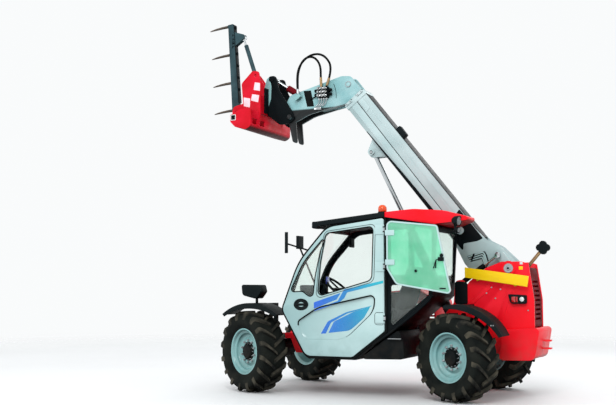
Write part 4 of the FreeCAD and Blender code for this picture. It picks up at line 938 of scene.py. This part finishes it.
# %% Head plates and valve block
HEAD_LEFT, HEAD_RIGHT = 25, -165
WRAP = [(3177, -598, 4), (3116, -524, 4), (2941, -612, 4), (2997, -680, 4)]
HEAD_SEAM = ((2975, -262), (2883, -288), (2821, -345))
NOSE_LINE = ((3000, -485), (3012, -540), (3034, -600))
BOSS = (2844, -132)
BOSS_RING, BOSS_CAP = [(26, 4), (28, 10), (34, 10), (36, 0), (22, 0)], [(0, 6), (16, 6), (18, 3), (18, 0), (0, 0)]
PLATE_FACE_Y = 25.3
VALVE_FACE_Y = PLATE_FACE_Y + 66
VALVE_PLUG = [(0, 42), (14, 42), (19, 36), (19, 0), (0, 0)]
COUPLING = [(0, 0), (16, 0), (16, 12), (11, 14), (11, 30), (14, 32), (14, 40), (0, 40)]
COLLAR = [(11.2, 16), (12.5, 16), (12.5, 24), (11.2, 24)]
COUPLING_ROWS = ((3358, 20), (3400, 6), (3442, 6))   # height, and the sides of its couplings
HOOK_EDGE = [(1352, 3627, 20), (1316, 3652, 20), (1290, 3532, 120), (1296, 3379, 120), (1328, 3286, 50),
             (1343, 3295, 0), (1343, 3425, 0), (1395, 3430, 20), (1380, 3527, 80)]

seam = bent_pipe([boom_point(u, HEAD_LEFT + 0.5, n) for u, n in HEAD_SEAM], 3)
add("head_wraps", [boom_plate(WRAP, HEAD_LEFT, HEAD_LEFT + 3), seam], "telescope", "rubber")
centres = [(boom_point(BOSS[0], face, BOSS[1]), (0, hand, 0)) for face, hand in ((HEAD_LEFT, 1), (HEAD_RIGHT, -1))]
add("head_bosses", [turned(BOSS_RING, *centre, 40) for centre in centres], "telescope", "steel")
add("head_boss_eyes", [turned(BOSS_CAP, *centre, 32) for centre in centres], "telescope", "head_grey")
add("nose_clip", boom_plate(oblong(3125, 3175, -730, -650, 6), PLATE_FACE_Y, VALVE_FACE_Y, 4),
    "telescope", "rim_grey")
valve = [block((545, PLATE_FACE_Y, 3335), (678, VALVE_FACE_Y, 3465), 6, 3)]
valve += [turned(VALVE_PLUG, at(x, 58, z), (hand, 0, 0), 24) for x, hand in ((678, 1), (545, -1)) for z in (3425, 3375)]
add("valve_block", valve, "telescope", "frame_black", replaces=("couplings",))
quick, collars = [block((640, PLATE_FACE_Y, 3205), (730, 60, 3235))], []
for x in (570, 611, 653):
    for z, steps in COUPLING_ROWS:
        quick.append(turned(COUPLING, at(x, VALVE_FACE_Y - 1, z), steps=steps))
        collars.append(turned(COLLAR, at(x, VALVE_FACE_Y - 1, z), steps=24))
for x in (570, 600, 630, 660):
    quick += [bent_pipe([at(x, 60, 3340), at(x, 60, 3290), at(x + 30, 55, 3255), at(x + 60, 45, 3245)], 6),
              turned([(0, 0), (11, 0), (11, 16), (0, 16)], at(x, 60, 3336), (0, 0, -1), 6)]
add("quick_couplings", quick, "telescope", "chrome", smooth=35)
add("coupling_collars", collars, "telescope", "brass", smooth=35)
add("nose_line", bent_pipe([boom_point(u, 42, n) for u, n in NOSE_LINE], 7), "telescope", "frame_black", smooth=60)
add("carriage_hook", panel([HOOK_EDGE], 57, 64), "carriage", "rim_grey")

# %% [markdown]
# The grab's arm is a flat tapered blade with slightly bowed round tines. The blade turns on the frame's pin, and two
# ears behind it take the small cylinder. A black strip along the blade's rear edge is a painted shade. The red frame
# carries white bands and the open end of a square tube, whose pale rim is a painted highlight and whose black inside
# is a painted shade.

# %% Grab arm, tines and frame details
ARM_Y = (-102, -38)
ARM_MIDDLE = sum(ARM_Y) / 2
ARM_PIVOT, PIVOT_HOLE_R, HOLE_STEPS = (1835, 3300), 18.5, 32
ARM_EDGE = [(1789, 3294, 30), (1815, 3256, 30), (1865, 3256, 30), (1885, 3300, 30), (1953, 4385, 20), (1875, 4395, 20)]
EAR_EDGE = [(1715, 4198, 20), (1725, 4242, 20), (1895, 4298, 0), (1895, 4078, 0)]
EAR_T = 8
REAR_SHADE_EDGE = [(1788, 3400, 0), (1796, 3400, 0), (1873, 4380, 0), (1866, 4380, 0)]
REAR_SHADE_LEAN = 0.0786   # the shade strip's run along X for its rise
TINES = ((4370, 1947), (4010, 1919), (3655, 1897), (3310, 1875))   # height, and the blade's front edge
TINE_RUN = ((-12, 0, 17), (30, -1, 17), (100, -6, 15.5), (170, -14, 13.5), (230, -23, 10), (268, -30, 6),
            (282, -32.5, 1.5))   # distance from the blade, sag and radius
TINE_ROOT = [(10, -4), (26, -4), (24, 14), (18, 20), (10, 20)]
BANDS = (((1350, 3545), (1420, 3560), (1435, 3470), (1350, 3450)),
         ((1360, 3400), (1455, 3420), (1470, 3345), (1375, 3315)),
         ((1480, 3370), (1570, 3390), (1566, 3285), (1485, 3262)),
         ((1430, 3225), (1515, 3245), (1525, 3165), (1465, 3130)))
SOCKET = (1590, 3116)


def square(half, radius):
    """Corners of a square round the tube's middle, clockwise."""
    return [(SOCKET[0] + a * half, SOCKET[1] + b * half, radius) for a, b in ((1, 1), (1, -1), (-1, -1), (-1, 1))]


hole = [(ARM_PIVOT[0] + PIVOT_HOLE_R * math.cos(a), ARM_PIVOT[1] + PIVOT_HOLE_R * math.sin(a), 0)
        for a in (2 * math.pi * k / HOLE_STEPS for k in range(HOLE_STEPS))]
ears = [panel([EAR_EDGE], y, y + EAR_T, 1) for y in (ARM_Y[0], ARM_Y[1] - EAR_T)]
add("arm_blade", [panel([ARM_EDGE, hole], *ARM_Y, 4)] + ears, "grab_arm", "arm_teal", replaces=("grab_arm",))
# A black strip along the blade's rear edge, with blocks on it, is a painted shade on the blade's rear side.
rear_shade = [panel([REAR_SHADE_EDGE], ARM_Y[0] - 4, ARM_Y[1] + 4, 1)]
for z in (3550, 3700, 3850, 4000, 4330):
    x = 1792 + REAR_SHADE_LEAN * (z - 3400)
    rear_shade.append(block((x - 16, -85, z), (x + 2, -55, z + 30), 3))
add("arm_rear_shade", rear_shade, "grab_arm", "frame_black")
radii = [radius for _, _, radius in TINE_RUN]
add("arm_tines", [pipe([at(x + dx, ARM_MIDDLE, z + dz) for dx, dz, _ in TINE_RUN], radii, 20) for z, x in TINES],
    "grab_arm", "tine_steel", smooth=60)
add("tine_roots", [turned(TINE_ROOT, at(x, ARM_MIDDLE, z), (1, 0, -0.05), 32) for z, x in TINES],
    "grab_arm", "arm_teal", smooth=40)
add("frame_bands", [panel([[(x, z, 4) for x, z in band]], 239.5, 240.8, 0.4) for band in BANDS],
    "carriage", "band_white")
# The pale rim on the tube's open end is a painted highlight, and the black plate inside it is a painted shade.
add("tube_rim_highlight", panel([square(34, 6), square(27, 4)], 449, 456, 1), "carriage", "clear_lens")
add("tube_hole_shade", panel([square(27.5, 4)], 449, 451.5, 0.4), "carriage", "rubber")
add("lamp_arm_sleeve", pipe([at(-1712, 0, 1344), at(-1842, 0, 1499)], 19, 8), "chassis", "brass", smooth=20)

# %% [markdown]
# The driver's seat is a foam cushion and a back in black cloth. Both are swelled by a short cloth simulation, so
# they crown between their edges as stuffed pads do.

# %% Seat
PAD_EASE = 22
PAD_VOXEL = 0.013
PAD_SWELL = 0.016
CLOTH_STEPS = 15


def pad(low, high, turn_deg=0.0, hinge=(0, 0, 0)):
    """Stuffed cushion between two corners, turned about a hinge line along Y."""
    piece = linked("pad", box(low, high, PAD_EASE, 3, triangles=True))
    remesh = piece.modifiers.new("remesh", "REMESH")
    remesh.mode, remesh.voxel_size = "VOXEL", PAD_VOXEL
    piece = linked("pad", baked(piece))
    start = [v.co.copy() for v in piece.data.vertices]
    cloth = piece.modifiers.new("cloth", "CLOTH")
    cloth.settings.use_pressure = True
    cloth.settings.uniform_pressure_force = 4
    cloth.settings.effector_weights.gravity = 0
    for step in range(1, CLOTH_STEPS + 1):
        bpy.context.scene.frame_set(step)
    swelled = baked(piece)
    for vert, before in zip(swelled.vertices, start):
        move = vert.co - before
        vert.co = before + move * min(1, PAD_SWELL / max(move.length, 1e-6))
    piece = linked("pad", swelled)
    smooth = piece.modifiers.new("smooth", "SUBSURF")
    smooth.levels = smooth.render_levels = 1
    mesh, foot = baked(piece), Vector(hinge) / 1000
    spin = Matrix.Translation(foot) @ Matrix.Rotation(math.radians(turn_deg), 4, "Y") @ Matrix.Translation(-foot)
    mesh.transform(Matrix.Translation((SHIFT, 0, 0)) @ spin)
    return mesh


cushion = add("seat_cushion", pad((-535, 262, 795), (-150, 718, 900)), "chassis", "seat_cloth", smooth=60,
              replaces=("seat",))
backrest = add("seat_back", pad((-560, 272, 900), (-470, 708, 1385), -20, (-520, 0, 900)), "chassis", "seat_cloth",
               smooth=60)

# %% [markdown]
# Two hydraulic hoses arch from the valve block over the boom's head to its nose. Each is a NURBS spline through
# the corners of its run, because a hose bends in one smooth line.

# %% Hoses
HOSE_R = 13
SLEEVE_R = HOSE_R * 1.22
HOSE_RUNS = {   # distance from the plate's face, and the run
    "hose_low": (17, [(640, 3430), (650, 3560), (652, 3742), (747, 3852), (872, 3834), (945, 3695), (953, 3520),
                      (942, 3370)]),
    "hose_high": (48, [(580, 3430), (475, 3660), (590, 3850), (770, 3870), (920, 3750), (950, 3560), (926, 3370)])}


def stretch(points, start, end):
    """Points of a line between two distances in metres from its first point."""
    gone, kept = 0.0, []
    for a, b in zip(points, points[1:]):
        if start <= gone <= end:
            kept.append(a)
        gone += (b - a).length
    return kept


for name, (reach, run) in HOSE_RUNS.items():
    curve = nurbs([at(x, PLATE_FACE_Y + reach, z) for x, z in run], HOSE_R, 4, 16)
    curve.materials.append(FINISH["rubber"])
    piece = linked(name + "_rubber", curve)
    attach(piece, "telescope")
    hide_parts(name)
    bare = curve.copy()
    bare.bevel_depth = 0
    points = [v.co.copy() for v in baked(linked("line", bare)).vertices]
    sleeves = [add(f"{name}_{end}_sleeve", pipe(stretch(line, *span), SLEEVE_R, 16), "telescope", finish_name,
                   smooth=50)
               for end, line, span, finish_name in (("valve", points, (0.03, 0.16), "brass"),
                                                    ("nose", points[::-1], (0.035, 0.10), "steel"))]
